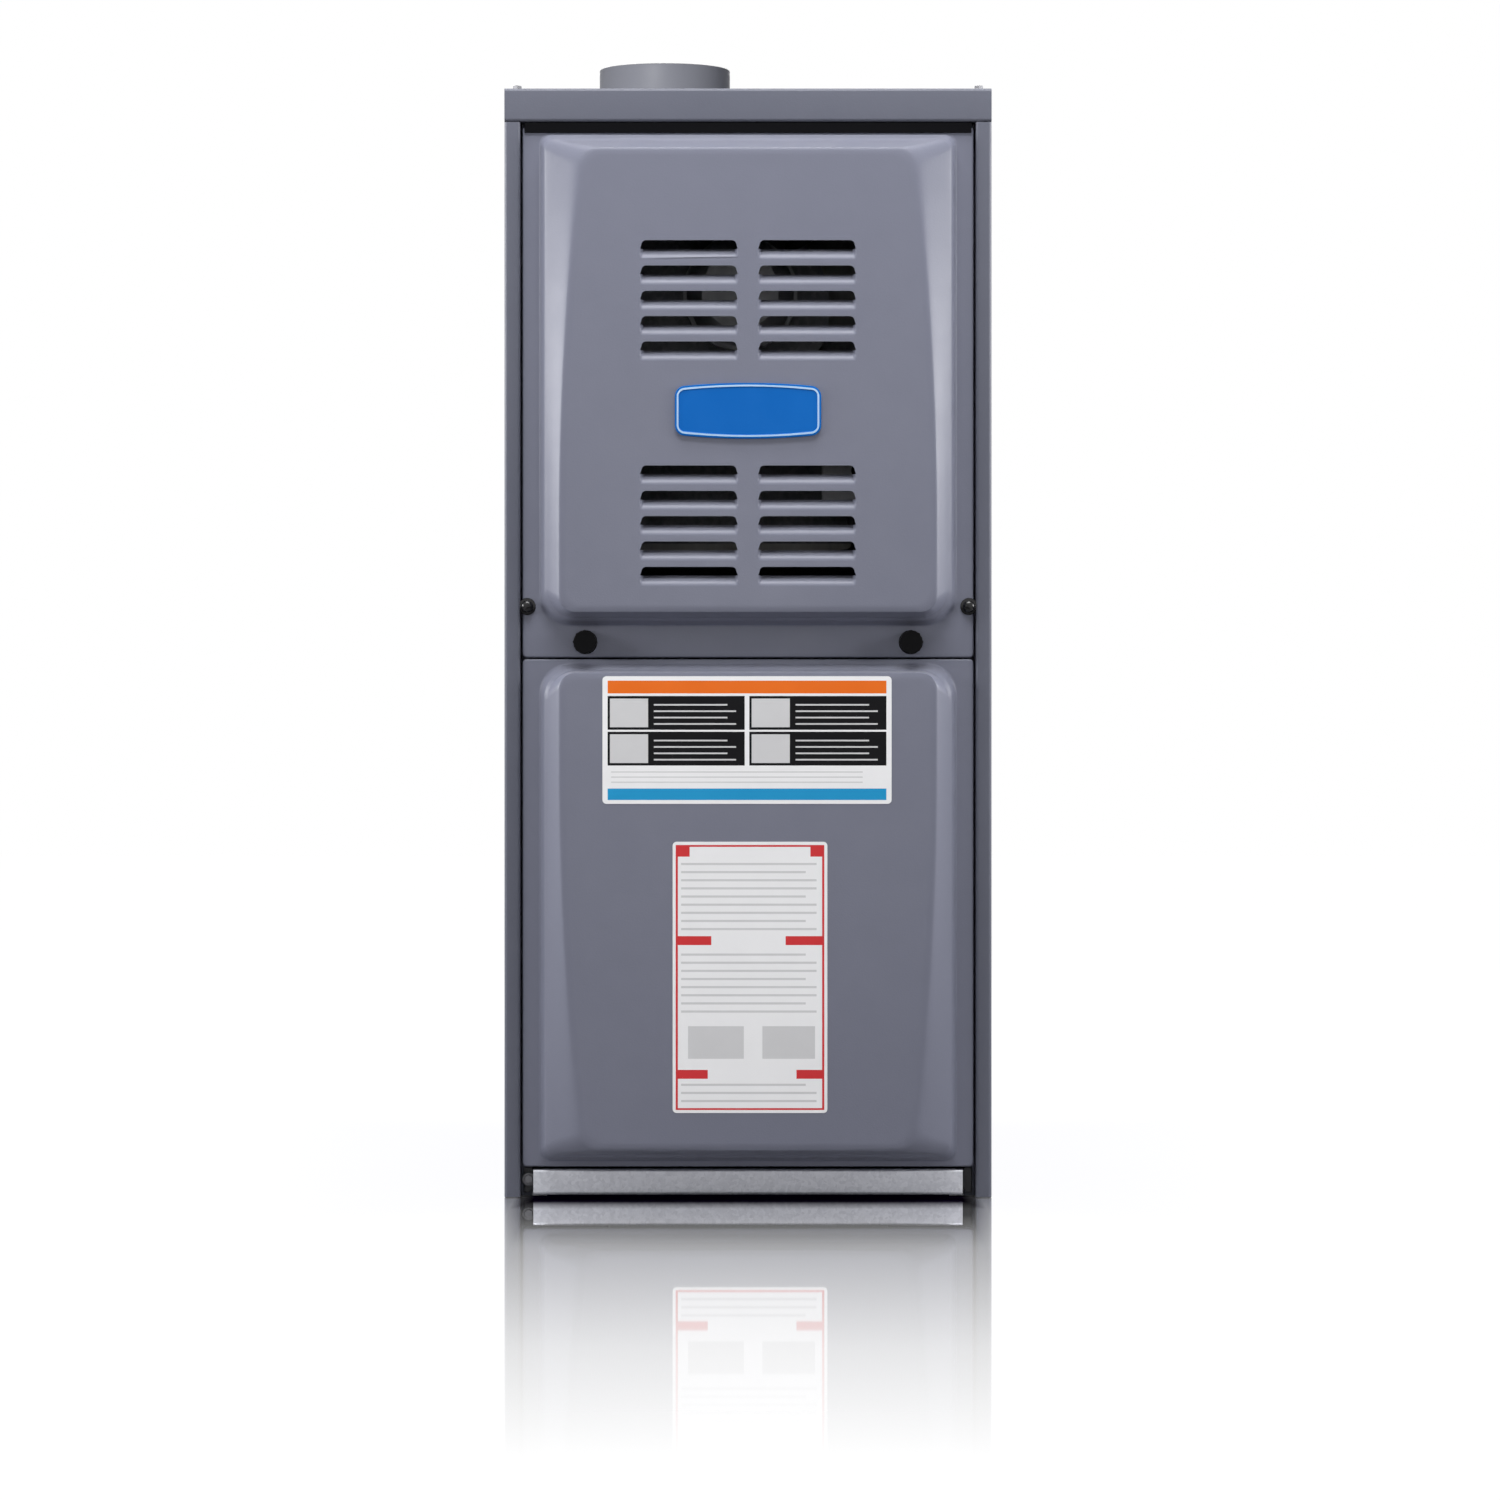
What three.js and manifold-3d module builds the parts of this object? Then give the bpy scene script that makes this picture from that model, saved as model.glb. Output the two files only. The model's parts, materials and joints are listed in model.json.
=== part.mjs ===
// Forced air gas furnace, upflow, with a louvred burner door over a plain blower door.
// Millimetres. +X to the viewer's right, +Y to the back, +Z up. The origin is on the floor,
// in the middle of the overall length and width.

import * as THREE from 'three';
import { mergeVertices } from 'three/addons/utils/BufferGeometryUtils.js';
import Module from 'manifold-3d';

const wasm = await Module();
wasm.setup();

// ---------------------------------------------------------------- driving dimensions

const fit = 0.3; // gap between two pieces that seat on each other
const through = 2; // how far a cutting tool runs past the sheet that it cuts

const cabinet = { width: 368.3, depth: 724, height: 838.2, sheet: 1.2, bend: 2.4 };
const column = { width: 12, stopDepth: 17, stopWidth: 8.6, rearReturn: 12, topFlange: 12 };
const cap = { faceHeight: 25.2, lipDepth: 13, behindVent: 18.2 };
const supply = { frontMargin: 24, rearMargin: 34, sideMargin: 27, flangeHeight: 19 };
const rail = { width: 30, height: 22 };
const floorPan = { sideMargin: 21.75, lipHeight: 19.4, lipReturn: 8, setBack: 4 };
const cornerClip = { height: 19, floorGap: 2.6, thickness: 1.5, topChamfer: 1.5, footChamfer: 3 };
const deck = { level: 406.4, flangeHeight: 25 };
const vestibule = { depth: 220, sideFlange: 15 };

const door = { sideMargin: 13.65, sheet: 1, seatGap: 0.5, setBack: 3, cornerRadius: 3, domeHeight: 25 };
const seam = { underCap: 3.6, overDeck: 1.6, lowerOverDeck: 0.3, overFloorPan: 2.1 };
const upperDome = { bottomMargin: 24, topMargin: 5.4, plateauBottom: 10, plateauTop: 13 };
const lowerDome = { bottomMargin: 4, topMargin: 3.2, plateauBottom: 10, plateauTop: 7.5 };
const dome = { sideMargin: 12.7, wideCorner: 23, narrowCorner: 9 };
const plateau = { sideMargin: 15.8, wideCorner: 12, narrowCorner: 16, taper: 17, straightShare: 0.18 };
const crown = { inset: 3, edgeRadius: 1.2 };
const domeFoot = [
  { inset: 0.8, height: 0.8 },
  { inset: 3.4, height: 7.5 },
  { inset: 5.6, height: 10.4 },
];
const domeSlope = [
  { share: 0.5, height: 17.6 },
  { share: 0.93, height: 24.2 },
];

const louvre = {
  columns: 2, rows: 5, width: 76.2, columnPitch: 88.9, rowPitch: 19.05, height: 14.7,
  depth: 8.5, rampRise: 9.1, shoulder: 4.5, flare: 1.6, firstDrop: 87.9, secondRise: 144,
};
const badge = { width: 110, height: 42, thickness: 2.5, bow: 3, corner: 7, drop: 216.4 };
const knob = { radius: 9.2, height: 17, skirt: 3.5, grip: 1.1, lobes: 8, fromEdge: 47.5, rise: 11.5 };
const knobShank = { radius: 3.2, camLength: 15, camWidth: 5, camThickness: 2.4 };
const edgeClip = { radius: 5.4, height: 5, round: 1.7, stem: 2.6, stemLength: 5, rise: 38.5, overhang: 0.6 };

const vent = { radius: 50.8, wall: 0.8, rise: 30.5, centreX: -65, fromPanel: 70 };
const adapter = { height: 24, wall: 1.2, lap: 12, overCollector: 6 };

const tube = { count: 3, radius: 22, wall: 1.6, pitch: 85, passes: 4, passPitch: 76, overDeck: 73.6 };
const tubeRun = { frontBend: 12, rearBend: 20, proud: 1.5, bendSteps: 4, sides: 8 };
const tubeRack = { sheet: 1.6, fromBack: 204, margin: 10 };
const collector = { depth: 36, height: 72, sideMargin: 16, sheet: 1.2, inletRadius: 30 };

const burnerBox = {
  sideMargin: 39, sheet: 1.2, floorDrop: 28, wallHeight: 56, length: 150, lipInset: 4, lipDrop: 10,
};
const burner = {
  length: 104, wall: 1.2, bellRadius: 14, bellLength: 12, throatRadius: 8, throatAt: 24,
  barrelRadius: 15.5, barrelAt: 58, flameRadius: 18, flameLength: 18, fromTube: 3,
};
const burnerPlate = { fromPanel: 36, sheet: 1.2, height: 46 };
const manifold = { radius: 10.6, fromPanel: 132, besideTube: 7, elbow: 20, elbowStep: 2.2 };
const orifice = { hexRadius: 6.5, length: 12, sunk: 1.5, tipRadius: 3.2, tipLength: 5 };
const valve = {
  width: 70, depth: 50, height: 54, chamfer: 6, bossRadius: 15, bossLength: 14, inletGap: 2, inletDepth: 12,
};
const valveRegulator = { left: 14, behind: 6, radius: 13, height: 14 };
const valveCoil = { left: 2, right: 30, front: 14, rear: 18, height: 18 };
const valveSwitch = { radius: 13, height: 13, baseHeight: 5.2, grip: 5 };
const igniter = {
  bodyRadius: 5, bodyLength: 34, tipLength: 11, tipWidth: 7, fromBurner: 29, rise: 7, inFront: 20.4,
};
const rodCollar = { step: 2, depth: 3.7 };
const flameSensor = {
  bodyRadius: 5, bodyLength: 28, rodRadius: 1.5, rodTail: 8, rodReach: 13, inFront: 16.8,
};
const rollout = {
  radius: 9, height: 8, earLength: 10, earWidth: 7, earSheet: 1.2,
  buttonRadius: 2.4, buttonHeight: 3, buttonSeat: 1.2, travel: 1.5, fromPanel: 63, rise: 8,
};
const limitSwitch = {
  radius: 11, flange: 21, flangeHeight: 14, flangeSheet: 1.5, height: 10, tab: 6,
  fromSide: 70.65, overBurners: 120,
};

const inducer = { width: 58, cutoffRadius: 52, outletRadius: 92, sheet: 1.5, belowPorts: 18, inlet: 30 };
const inducerWheel = {
  radius: 44, hub: 9, hubFront: 6, hubRear: 16, blades: 10, depth: 30, sheet: 1.2, shaft: 4,
  gap: 3, intoMotor: 14,
};
const inducerMotor = {
  radius: 42, length: 60, endRadius: 30, coreRadius: 45, coreLength: 24, frontBevel: 8, rearBevel: 5,
};
const pressureSwitch = {
  radius: 31, height: 22, fromSide: 70.65, underTop: 54.7, portLength: 12,
  portDrop: 18.6, cap: 5, boss: 10.85, shoulder: 25.4, crimp: 27.9, crimpWidth: 3,
};
const hose = { radius: 4, bore: 2.4, barb: 1.5, nipple: 9, loop: 36, start: 38 };

const blower = { width: 230, cutoffRadius: 132, outletRadius: 192, sheet: 1.2, inlet: 98 };
const blowerSeat = { fromBack: 253, level: 205, flange: 14 };
const wheel = {
  outer: 120, inner: 99, width: 176, blades: 32, bladeSheet: 1.6, sweep: 9,
  lip: 1.5, rimWidth: 2.4, disc: 2, hubRadius: 17, hubLength: 26,
};
const shaft = { radius: 6.35, leftEnd: -24, intoMotor: 9 };
const motor = { radius: 66, endRadius: 52, step: 3, length: 124, bandLength: 84, gapToHub: 7 };
const mount = { band: 2, bandWidth: 20, armWidth: 16, armThickness: 3, arms: 3, reach: 114 };
const capacitor = {
  radius: 22, height: 76, rim: 1.8, tab: 6, tabPitch: 16, tabHeight: 9, forward: 106, underAxis: 84,
};
const strap = { width: 14, sheet: 1.2, foot: 14 };

const panel = { sheet: 1.2, leftMargin: 14.65, rightMargin: 32.65, drop: 168, topFlange: 22, fromFront: 285 };
const board = { width: 150, height: 108, sheet: 1.6, standoff: 9, postInset: 7, fromSide: 112.65, drop: 96 };
const relay = { size: 19, height: 16, count: 3, pitch: 26, first: 30, rise: 8 };
const plugHeader = { x: 38, z: 4, width: 28, height: 36, depth: 12 };
const chip = { x: -30, z: -24, width: 22, height: 10, depth: 3 };
const terminals = { count: 6, pitch: 9, height: 11, depth: 6, post: 4, postHeight: 7, postReach: 5, rise: 6 };
const fuse = { x: 40, z: -24, width: 16, height: 6, depth: 14 };
const transformer = {
  width: 66, height: 56, core: 24, coilDepth: 46, sheet: 1.5, foot: { reach: 6, inset: 4, height: 18 },
  fromSide: 78.65, drop: 92,
};
const doorSwitch = {
  width: 28, height: 24, depth: 30, neck: 18, neckHeight: 14, neckReach: 8, fromSide: 70.65, drop: 10,
};
const plunger = { width: 9, height: 6, travel: 3, seat: 6 };
const junctionBox = {
  width: 56, depth: 62, height: 96, sheet: 1.5, underDeck: 30.4, fromFront: 62,
  embossInset: 12, embossHeight: 40, embossDepth: 1.2,
};
const gasHole = { radius: 22, bush: 4, flange: 3, bore: 16.5 };
const conduitHole = { radius: 11.1 };

// ---------------------------------------------------------------- places that follow from them

const side = cabinet.width / 2;
const innerSide = side - cabinet.sheet - fit;
const proud = door.domeHeight - door.setBack + badge.thickness + fit;
const front = proud - (cabinet.depth + proud) / 2;
const back = front + cabinet.depth;
const stopFace = front + column.stopDepth;
const flangeFace = front + door.setBack;
const domeFace = flangeFace - door.domeHeight;
const behindStop = stopFace + cabinet.sheet + fit;
const capBottom = cabinet.height - cap.faceHeight;
const underTop = cabinet.height - cabinet.sheet - fit;
const floorPanTop = cabinet.sheet + fit + floorPan.lipHeight;
const upperDoor = doorPlaces(deck.level + seam.overDeck, capBottom - seam.underCap, upperDome);
const lowerDoor = doorPlaces(floorPanTop + seam.overFloorPan, deck.level + seam.lowerOverDeck, lowerDome);
const backFace = back - cabinet.sheet - fit;
const panelFace = front + vestibule.depth; // burner side of the vestibule panel
const ventCentre = [vent.centreX, panelFace - vent.fromPanel];
const capRear = ventCentre[1] + vent.radius + cap.behindVent;
const floorPanHalf = side - floorPan.sideMargin;
const doorHalf = side - door.sideMargin;
const domeHalf = doorHalf - dome.sideMargin;
const plateauHalf = domeHalf - plateau.sideMargin;
const knobX = doorHalf - knob.fromEdge;
const doorSwitchX = innerSide - doorSwitch.fromSide;
const tubeX = Array.from({ length: tube.count }, (_, i) => (i - (tube.count - 1) / 2) * tube.pitch);
const tubeLow = deck.level + tube.overDeck;
const tubeTop = tubeLow + (tube.passes - 1) * tube.passPitch;
const tubeEdge = tubeX[tubeX.length - 1];
const manifoldY = panelFace - manifold.fromPanel;
const riserX = tubeEdge + manifold.besideTube;
const burnerBoxHalf = tubeEdge + burnerBox.sideMargin;

// ---------------------------------------------------------------- finishes

const finish = {
  paint: { color: 0x73757f, roughness: 0.42, metalness: 0.35 },
  galvanised: { color: 0xa9abad, roughness: 0.45, metalness: 0.85 },
  aluminised: { color: 0x9a9a96, roughness: 0.55, metalness: 0.8 },
  steel: { color: 0x8c8f93, roughness: 0.35, metalness: 0.9 },
  castAluminium: { color: 0xb4b6b8, roughness: 0.5, metalness: 0.7 },
  blackPlastic: { color: 0x141416, roughness: 0.45, metalness: 0 },
  motorPaint: { color: 0x3a3d40, roughness: 0.5, metalness: 0.4 },
  ceramic: { color: 0xe4e0d6, roughness: 0.7, metalness: 0 },
  rubber: { color: 0x1b1b1c, roughness: 0.8, metalness: 0 },
  badgeBlue: { color: 0x0e64b4, roughness: 0.3, metalness: 0.2 },
  board: { color: 0x1d5a34, roughness: 0.5, metalness: 0 },
  greyPlastic: { color: 0xb9bcc0, roughness: 0.5, metalness: 0 },
  redPlastic: { color: 0xb3261e, roughness: 0.45, metalness: 0 },
};

// ---------------------------------------------------------------- solids, joins and cuts

function toSolid(geometry) {
  const bare = geometry.clone();
  bare.deleteAttribute('normal');
  bare.deleteAttribute('uv');
  const merged = mergeVertices(bare, 1e-4);
  const vertProperties = new Float32Array(merged.attributes.position.array);
  const triVerts = new Uint32Array(merged.index.array);
  return new wasm.Manifold(new wasm.Mesh({ numProp: 3, vertProperties, triVerts }));
}

function toGeometry(solid) {
  const mesh = solid.getMesh();
  const geometry = new THREE.BufferGeometry();
  geometry.setAttribute('position', new THREE.BufferAttribute(new Float32Array(mesh.vertProperties), 3));
  geometry.setIndex(new THREE.BufferAttribute(new Uint32Array(mesh.triVerts), 1));
  return geometry;
}

const join = (...solids) => solids.reduce((sum, next) => sum.add(next));
const cut = (solid, ...tools) => tools.reduce((rest, tool) => rest.subtract(tool), solid);

function outline(points) {
  return new THREE.Shape(points.map(([u, v]) => new THREE.Vector2(u, v)));
}

function disc(u, v, radius) {
  const shape = new THREE.Shape();
  shape.absarc(u, v, radius, 0, 2 * Math.PI, false);
  return shape;
}

function ring(u, v, outer, inner) {
  const shape = disc(u, v, outer);
  const hole = new THREE.Path();
  hole.absarc(u, v, inner, 0, 2 * Math.PI, true);
  shape.holes.push(hole);
  return shape;
}

function extruded(shape, length, sides) {
  return new THREE.ExtrudeGeometry(shape, { depth: length, bevelEnabled: false, curveSegments: sides / 2 });
}

// A section drawn in (y, z), pushed along X.
function alongX(shape, low, high, sides = 16) {
  const turn = new THREE.Matrix4().makeBasis(
    new THREE.Vector3(0, 1, 0), new THREE.Vector3(0, 0, 1), new THREE.Vector3(1, 0, 0),
  );
  return toSolid(extruded(shape, high - low, sides).applyMatrix4(turn).translate(low, 0, 0));
}

// A section drawn in (x, z), pushed along Y.
function alongY(shape, low, high, sides = 16) {
  const turn = new THREE.Matrix4().makeBasis(
    new THREE.Vector3(1, 0, 0), new THREE.Vector3(0, 0, 1), new THREE.Vector3(0, -1, 0),
  );
  return toSolid(extruded(shape, high - low, sides).applyMatrix4(turn).translate(0, high, 0));
}

// A section drawn in (x, y), pushed along Z.
function alongZ(shape, low, high, sides = 16) {
  return toSolid(extruded(shape, high - low, sides).translate(0, 0, low));
}

// The radius of a many-sided hole in which a round shaft turns freely.
const clearOf = (radius, sides) => (radius + fit) / Math.cos(Math.PI / sides);

function block([x0, y0, z0], [x1, y1, z1]) {
  const box = new THREE.BoxGeometry(x1 - x0, y1 - y0, z1 - z0);
  return toSolid(box.translate((x0 + x1) / 2, (y0 + y1) / 2, (z0 + z1) / 2));
}

const axes = {
  x: new THREE.Matrix4().makeRotationZ(-Math.PI / 2),
  y: new THREE.Matrix4(),
  z: new THREE.Matrix4().makeRotationX(Math.PI / 2),
};

// A profile of [radius, station] points turned about an axis through a centre. The stations rise,
// the profile starts and ends on the axis or closes on itself.
function turned(profile, axis, [x, y, z], sides = 20) {
  const points = profile.map(([radius, station]) => new THREE.Vector2(radius, station));
  const lathe = new THREE.LatheGeometry(points, sides);
  return toSolid(lathe.applyMatrix4(axes[axis]).translate(x, y, z));
}

// ---------------------------------------------------------------- folded sheet

const minus = (a, b) => [a[0] - b[0], a[1] - b[1]];
const plus = (a, b) => [a[0] + b[0], a[1] + b[1]];
const times = (a, k) => [a[0] * k, a[1] * k];
const unit = (a) => times(a, 1 / Math.hypot(a[0], a[1]));

function bendPoints(before, corner, after, radius, steps) {
  const toBefore = unit(minus(before, corner));
  const toAfter = unit(minus(after, corner));
  const half = Math.acos(toBefore[0] * toAfter[0] + toBefore[1] * toAfter[1]) / 2;
  const centre = plus(corner, times(unit(plus(toBefore, toAfter)), radius / Math.sin(half)));
  const start = minus(plus(corner, times(toBefore, radius / Math.tan(half))), centre);
  const end = minus(plus(corner, times(toAfter, radius / Math.tan(half))), centre);
  const from = Math.atan2(start[1], start[0]);
  let turn = Math.atan2(end[1], end[0]) - from;
  turn -= 2 * Math.PI * Math.round(turn / (2 * Math.PI));
  return Array.from({ length: steps + 1 }, (_, i) => {
    const angle = from + (turn * i) / steps;
    return plus(centre, [radius * Math.cos(angle), radius * Math.sin(angle)]);
  });
}

function offsetPath(points, distance) {
  return points.map((point, i) => {
    const ahead = i < points.length - 1 ? unit(minus(points[i + 1], point)) : null;
    const behind = i > 0 ? unit(minus(point, points[i - 1])) : null;
    const a = behind ?? ahead;
    const b = ahead ?? behind;
    const normal = unit([-(a[1] + b[1]), a[0] + b[0]]);
    const stretch = 1 / (normal[0] * -a[1] + normal[1] * a[0]);
    return plus(point, times(normal, distance * stretch));
  });
}

// The section of a bent sheet: its outer face follows the corners, and the thickness is laid
// to the left of them, or to the right where it is negative.
function folded(corners, thickness, radius = cabinet.bend, steps = 2) {
  const bends = corners.slice(1, -1).map((corner, i) =>
    bendPoints(corners[i], corner, corners[i + 2], radius, steps));
  const outer = [corners[0], ...bends.flat(), corners[corners.length - 1]];
  return outline([...outer, ...offsetPath(outer, thickness).reverse()]);
}

// ---------------------------------------------------------------- the assembly tree

const furnace = new THREE.Group();
furnace.name = 'furnace';

function section(name) {
  const group = new THREE.Group();
  group.name = name;
  furnace.add(group);
  return group;
}

function add(group, name, solid, look) {
  const mesh = new THREE.Mesh(toGeometry(solid), new THREE.MeshStandardMaterial(look));
  mesh.name = name;
  group.add(mesh);
  return mesh;
}

// ---------------------------------------------------------------- cabinet

function sidePanel(hand) {
  const x = (value) => hand * value;
  const plan = folded([
    [x(side - column.rearReturn), back],
    [x(side), back],
    [x(side), front],
    [x(side - column.width), front],
    [x(side - column.width), stopFace],
    [x(side - column.width - column.stopWidth), stopFace],
  ], -hand * cabinet.sheet);
  const wall = alongZ(plan, 0, underTop);
  const capSeat = block(
    [hand > 0 ? 0 : -side - through, front - through, capBottom - fit],
    [hand > 0 ? side + through : 0, behindStop, cabinet.height],
  );
  const flangeStart = x(side - cabinet.sheet / 2);
  const flangeEnd = x(side - column.topFlange);
  const topFlange = block(
    [Math.min(flangeStart, flangeEnd), behindStop, underTop - cabinet.sheet],
    [Math.max(flangeStart, flangeEnd), backFace - column.rearReturn - fit, underTop],
  );
  const holeLow = hand > 0 ? side - cabinet.sheet - through : -side - through;
  const holeHigh = holeLow + cabinet.sheet + 2 * through;
  const entry = hand > 0
    ? alongX(disc(manifoldY, valveLevel, gasHole.radius), holeLow, holeHigh, 20)
    : alongX(disc(junctionCentreY, junctionCentreZ, conduitHole.radius), holeLow, holeHigh, 16);
  return cut(join(wall, topFlange), capSeat, entry);
}

function frontCap() {
  const profile = folded([
    [front + cap.lipDepth, capBottom],
    [front, capBottom],
    [front, cabinet.height],
    [capRear, cabinet.height],
  ], -cabinet.sheet);
  const shell = alongX(profile, -side, side);
  const inset = cabinet.bend / 2;
  const endPlate = (x0) => block(
    [x0, front + inset, capBottom + inset],
    [x0 + cabinet.sheet, front + cap.lipDepth, cabinet.height - inset],
  );
  const ventHole = alongZ(
    disc(...ventCentre, vent.radius + fit), cabinet.height - 2 * through, cabinet.height + through, 32,
  );
  return cut(join(shell, endPlate(-side), endPlate(side - cabinet.sheet)), ventHole);
}

function topPanel() {
  const rear = back;
  const plate = block([-side, capRear + fit, underTop + fit], [side, rear, cabinet.height]);
  const edge = side - supply.sideMargin;
  const low = [-edge, capRear + fit + supply.frontMargin];
  const high = [edge, rear - supply.rearMargin];
  const collar = block(
    [...low, underTop + fit], [...high, cabinet.height + supply.flangeHeight],
  );
  const opening = block(
    [low[0] + cabinet.sheet, low[1] + cabinet.sheet, underTop - through],
    [high[0] - cabinet.sheet, high[1] - cabinet.sheet, cabinet.height + supply.flangeHeight + through],
  );
  return cut(join(plate, collar), opening);
}

function backPanel() {
  const flange = backFace - column.rearReturn;
  const plan = folded([
    [-innerSide, flange], [-innerSide, backFace], [innerSide, backFace], [innerSide, flange],
  ], -cabinet.sheet);
  return alongZ(plan, 0, underTop);
}

function baseRail(hand) {
  const wall = hand * innerSide;
  const profile = folded([
    [wall, rail.height], [wall, 0], [wall - hand * rail.width, 0],
  ], -hand * cabinet.sheet);
  return alongY(profile, behindStop, backFace - column.rearReturn - fit);
}

function bottomPanel() {
  const lip = front + floorPan.setBack;
  const seat = cabinet.sheet + fit;
  const profile = folded([
    [lip + floorPan.lipReturn, seat + floorPan.lipHeight],
    [lip, seat + floorPan.lipHeight],
    [lip, seat],
    [backFace - cabinet.sheet - fit, seat],
  ], cabinet.sheet);
  return alongX(profile, -floorPanHalf, floorPanHalf);
}

function baseCornerClip(hand) {
  const outer = side - column.width - cabinet.bend;
  const inner = floorPanHalf + fit;
  const y = stopFace - fit;
  const plate = outline([
    [hand * outer, cornerClip.floorGap],
    [hand * outer, cornerClip.floorGap + cornerClip.height],
    [hand * (inner + cornerClip.topChamfer), cornerClip.floorGap + cornerClip.height],
    [hand * inner, cornerClip.floorGap + cornerClip.height - cornerClip.topChamfer],
    [hand * inner, cornerClip.floorGap + cornerClip.footChamfer],
    [hand * (inner + cornerClip.footChamfer), cornerClip.floorGap],
  ]);
  return alongY(plate, y - cornerClip.thickness, y, 12);
}

function blowerDeck() {
  const profile = folded([
    [behindStop, deck.level - deck.flangeHeight],
    [behindStop, deck.level],
    [backFace - cabinet.sheet - fit, deck.level],
  ], -cabinet.sheet);
  const sheet = alongX(profile, -innerSide + column.rearReturn / 2, innerSide - column.rearReturn / 2);
  const window = block(
    [-blowerOpening.x, blowerOpening.front, deck.level - through - cabinet.sheet],
    [blowerOpening.x, blowerOpening.back, deck.level + through],
  );
  const neckHalf = [doorSwitch.neck / 2 + fit, doorSwitch.neckHeight / 2 + fit];
  const switchWindow = block(
    [doorSwitchX - neckHalf[0], behindStop - through, switchLevel - neckHalf[1]],
    [doorSwitchX + neckHalf[0], behindStop + 2 * through, switchLevel + neckHalf[1]],
  );
  return cut(sheet, window, switchWindow);
}

function vestibulePanel() {
  const flange = panelFace + vestibule.sideFlange;
  const plan = folded([
    [-innerSide, flange], [-innerSide, panelFace], [innerSide, panelFace], [innerSide, flange],
  ], cabinet.sheet);
  const panelSheet = alongZ(plan, deck.level + fit, underTop - cabinet.sheet - fit);
  const ports = tubeX.flatMap((x) => [tubeLow, tubeTop].map((z) =>
    alongY(disc(x, z, tube.radius + fit), panelFace - through, panelFace + 2 * through, tubeRun.sides)));
  return cut(panelSheet, ...ports);
}

// ---------------------------------------------------------------- scrolls (blower and inducer)

// A volute in (u, v): the outlet rises along +v, its far wall at u = outletRadius. From there the
// wall winds clockwise and closes in to the cut-off, which stands 60 degrees above the u axis.
function scroll(size, rise, grow) {
  const cutoffAngle = Math.PI / 3;
  const sweep = 2 * Math.PI - cutoffAngle;
  const steps = 22;
  const cutoffU = size.cutoffRadius * Math.cos(cutoffAngle) - grow;
  const last = 2 * Math.PI - Math.acos(cutoffU / (size.cutoffRadius + grow));
  const points = [[size.outletRadius + grow, rise]];
  for (let i = 0; i <= steps; i += 1) {
    const angle = (last * i) / steps;
    const radius = size.outletRadius - (size.outletRadius - size.cutoffRadius) * (angle / sweep) + grow;
    points.push([radius * Math.cos(angle), -radius * Math.sin(angle)]);
  }
  points.push([cutoffU, rise]);
  return points;
}

const cutoffReach = (size) => size.cutoffRadius * Math.cos(Math.PI / 3);

// ---------------------------------------------------------------- blower

const blowerCentre = [back - blowerSeat.fromBack, blowerSeat.level]; // (y, z) of the wheel's axis
const blowerRise = deck.level - cabinet.sheet - fit - blowerSeat.level;
const blowerOpening = {
  x: blower.width / 2 - blower.sheet,
  front: blowerCentre[0] + cutoffReach(blower),
  back: blowerCentre[0] + blower.outletRadius,
};

function inBlower(points) {
  return outline(points.map(([u, v]) => [blowerCentre[0] + u, blowerCentre[1] + v]));
}

function blowerHousing() {
  const half = blower.width / 2;
  const shell = alongX(inBlower(scroll(blower, blowerRise, blower.sheet)), -half, half);
  const hollow = alongX(
    inBlower(scroll(blower, blowerRise + through, 0)), -half + blower.sheet, half - blower.sheet,
  );
  const inlets = alongX(disc(...blowerCentre, blower.inlet), -half - through, half + through, 24);
  const top = deck.level - cabinet.sheet - fit;
  const rim = block(
    [-half - blowerSeat.flange, blowerOpening.front - blowerSeat.flange, top - blower.sheet],
    [half + blowerSeat.flange, blowerOpening.back + blowerSeat.flange, top],
  );
  return cut(join(shell, rim), hollow, inlets);
}

// One forward-curved blade: a thin arc that starts radial at the wheel's inner edge and leans
// forward at its tip.
function bladeSection() {
  const reach = wheel.outer - wheel.inner;
  const spine = [0, 0.5, 1].map((t) => [wheel.inner + reach * t, wheel.sweep * t * t]);
  return outline([...spine, ...offsetPath(spine, wheel.bladeSheet).reverse()]);
}

function aboutX(solid, angle, [y, z]) {
  const turn = new THREE.Matrix4().makeRotationX(angle);
  turn.setPosition(0, y, z);
  return toSolid(toGeometry(solid).applyMatrix4(turn));
}

function blowerWheel() {
  const half = wheel.width / 2;
  const blade = alongX(bladeSection(), -half, half);
  const blades = Array.from({ length: wheel.blades }, (_, i) =>
    aboutX(blade, (2 * Math.PI * i) / wheel.blades, [0, 0]));
  const rim = (low) => alongX(
    ring(0, 0, wheel.outer + wheel.lip, wheel.inner - wheel.lip), low, low + wheel.rimWidth, wheel.blades,
  );
  const web = alongX(disc(0, 0, wheel.inner + wheel.lip * 2), -wheel.disc / 2, wheel.disc / 2, wheel.blades);
  const hub = alongX(disc(0, 0, wheel.hubRadius), -wheel.hubLength / 2, wheel.hubLength / 2, 16);
  const axle = alongX(disc(0, 0, shaft.radius), shaft.leftEnd, motorFront + shaft.intoMotor, 8);
  const wheelSolid = join(web, hub, axle, rim(-half), rim(half - wheel.rimWidth), ...blades);
  return aboutX(wheelSolid, 0, blowerCentre);
}

const motorFront = wheel.hubLength / 2 + motor.gapToHub;

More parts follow.
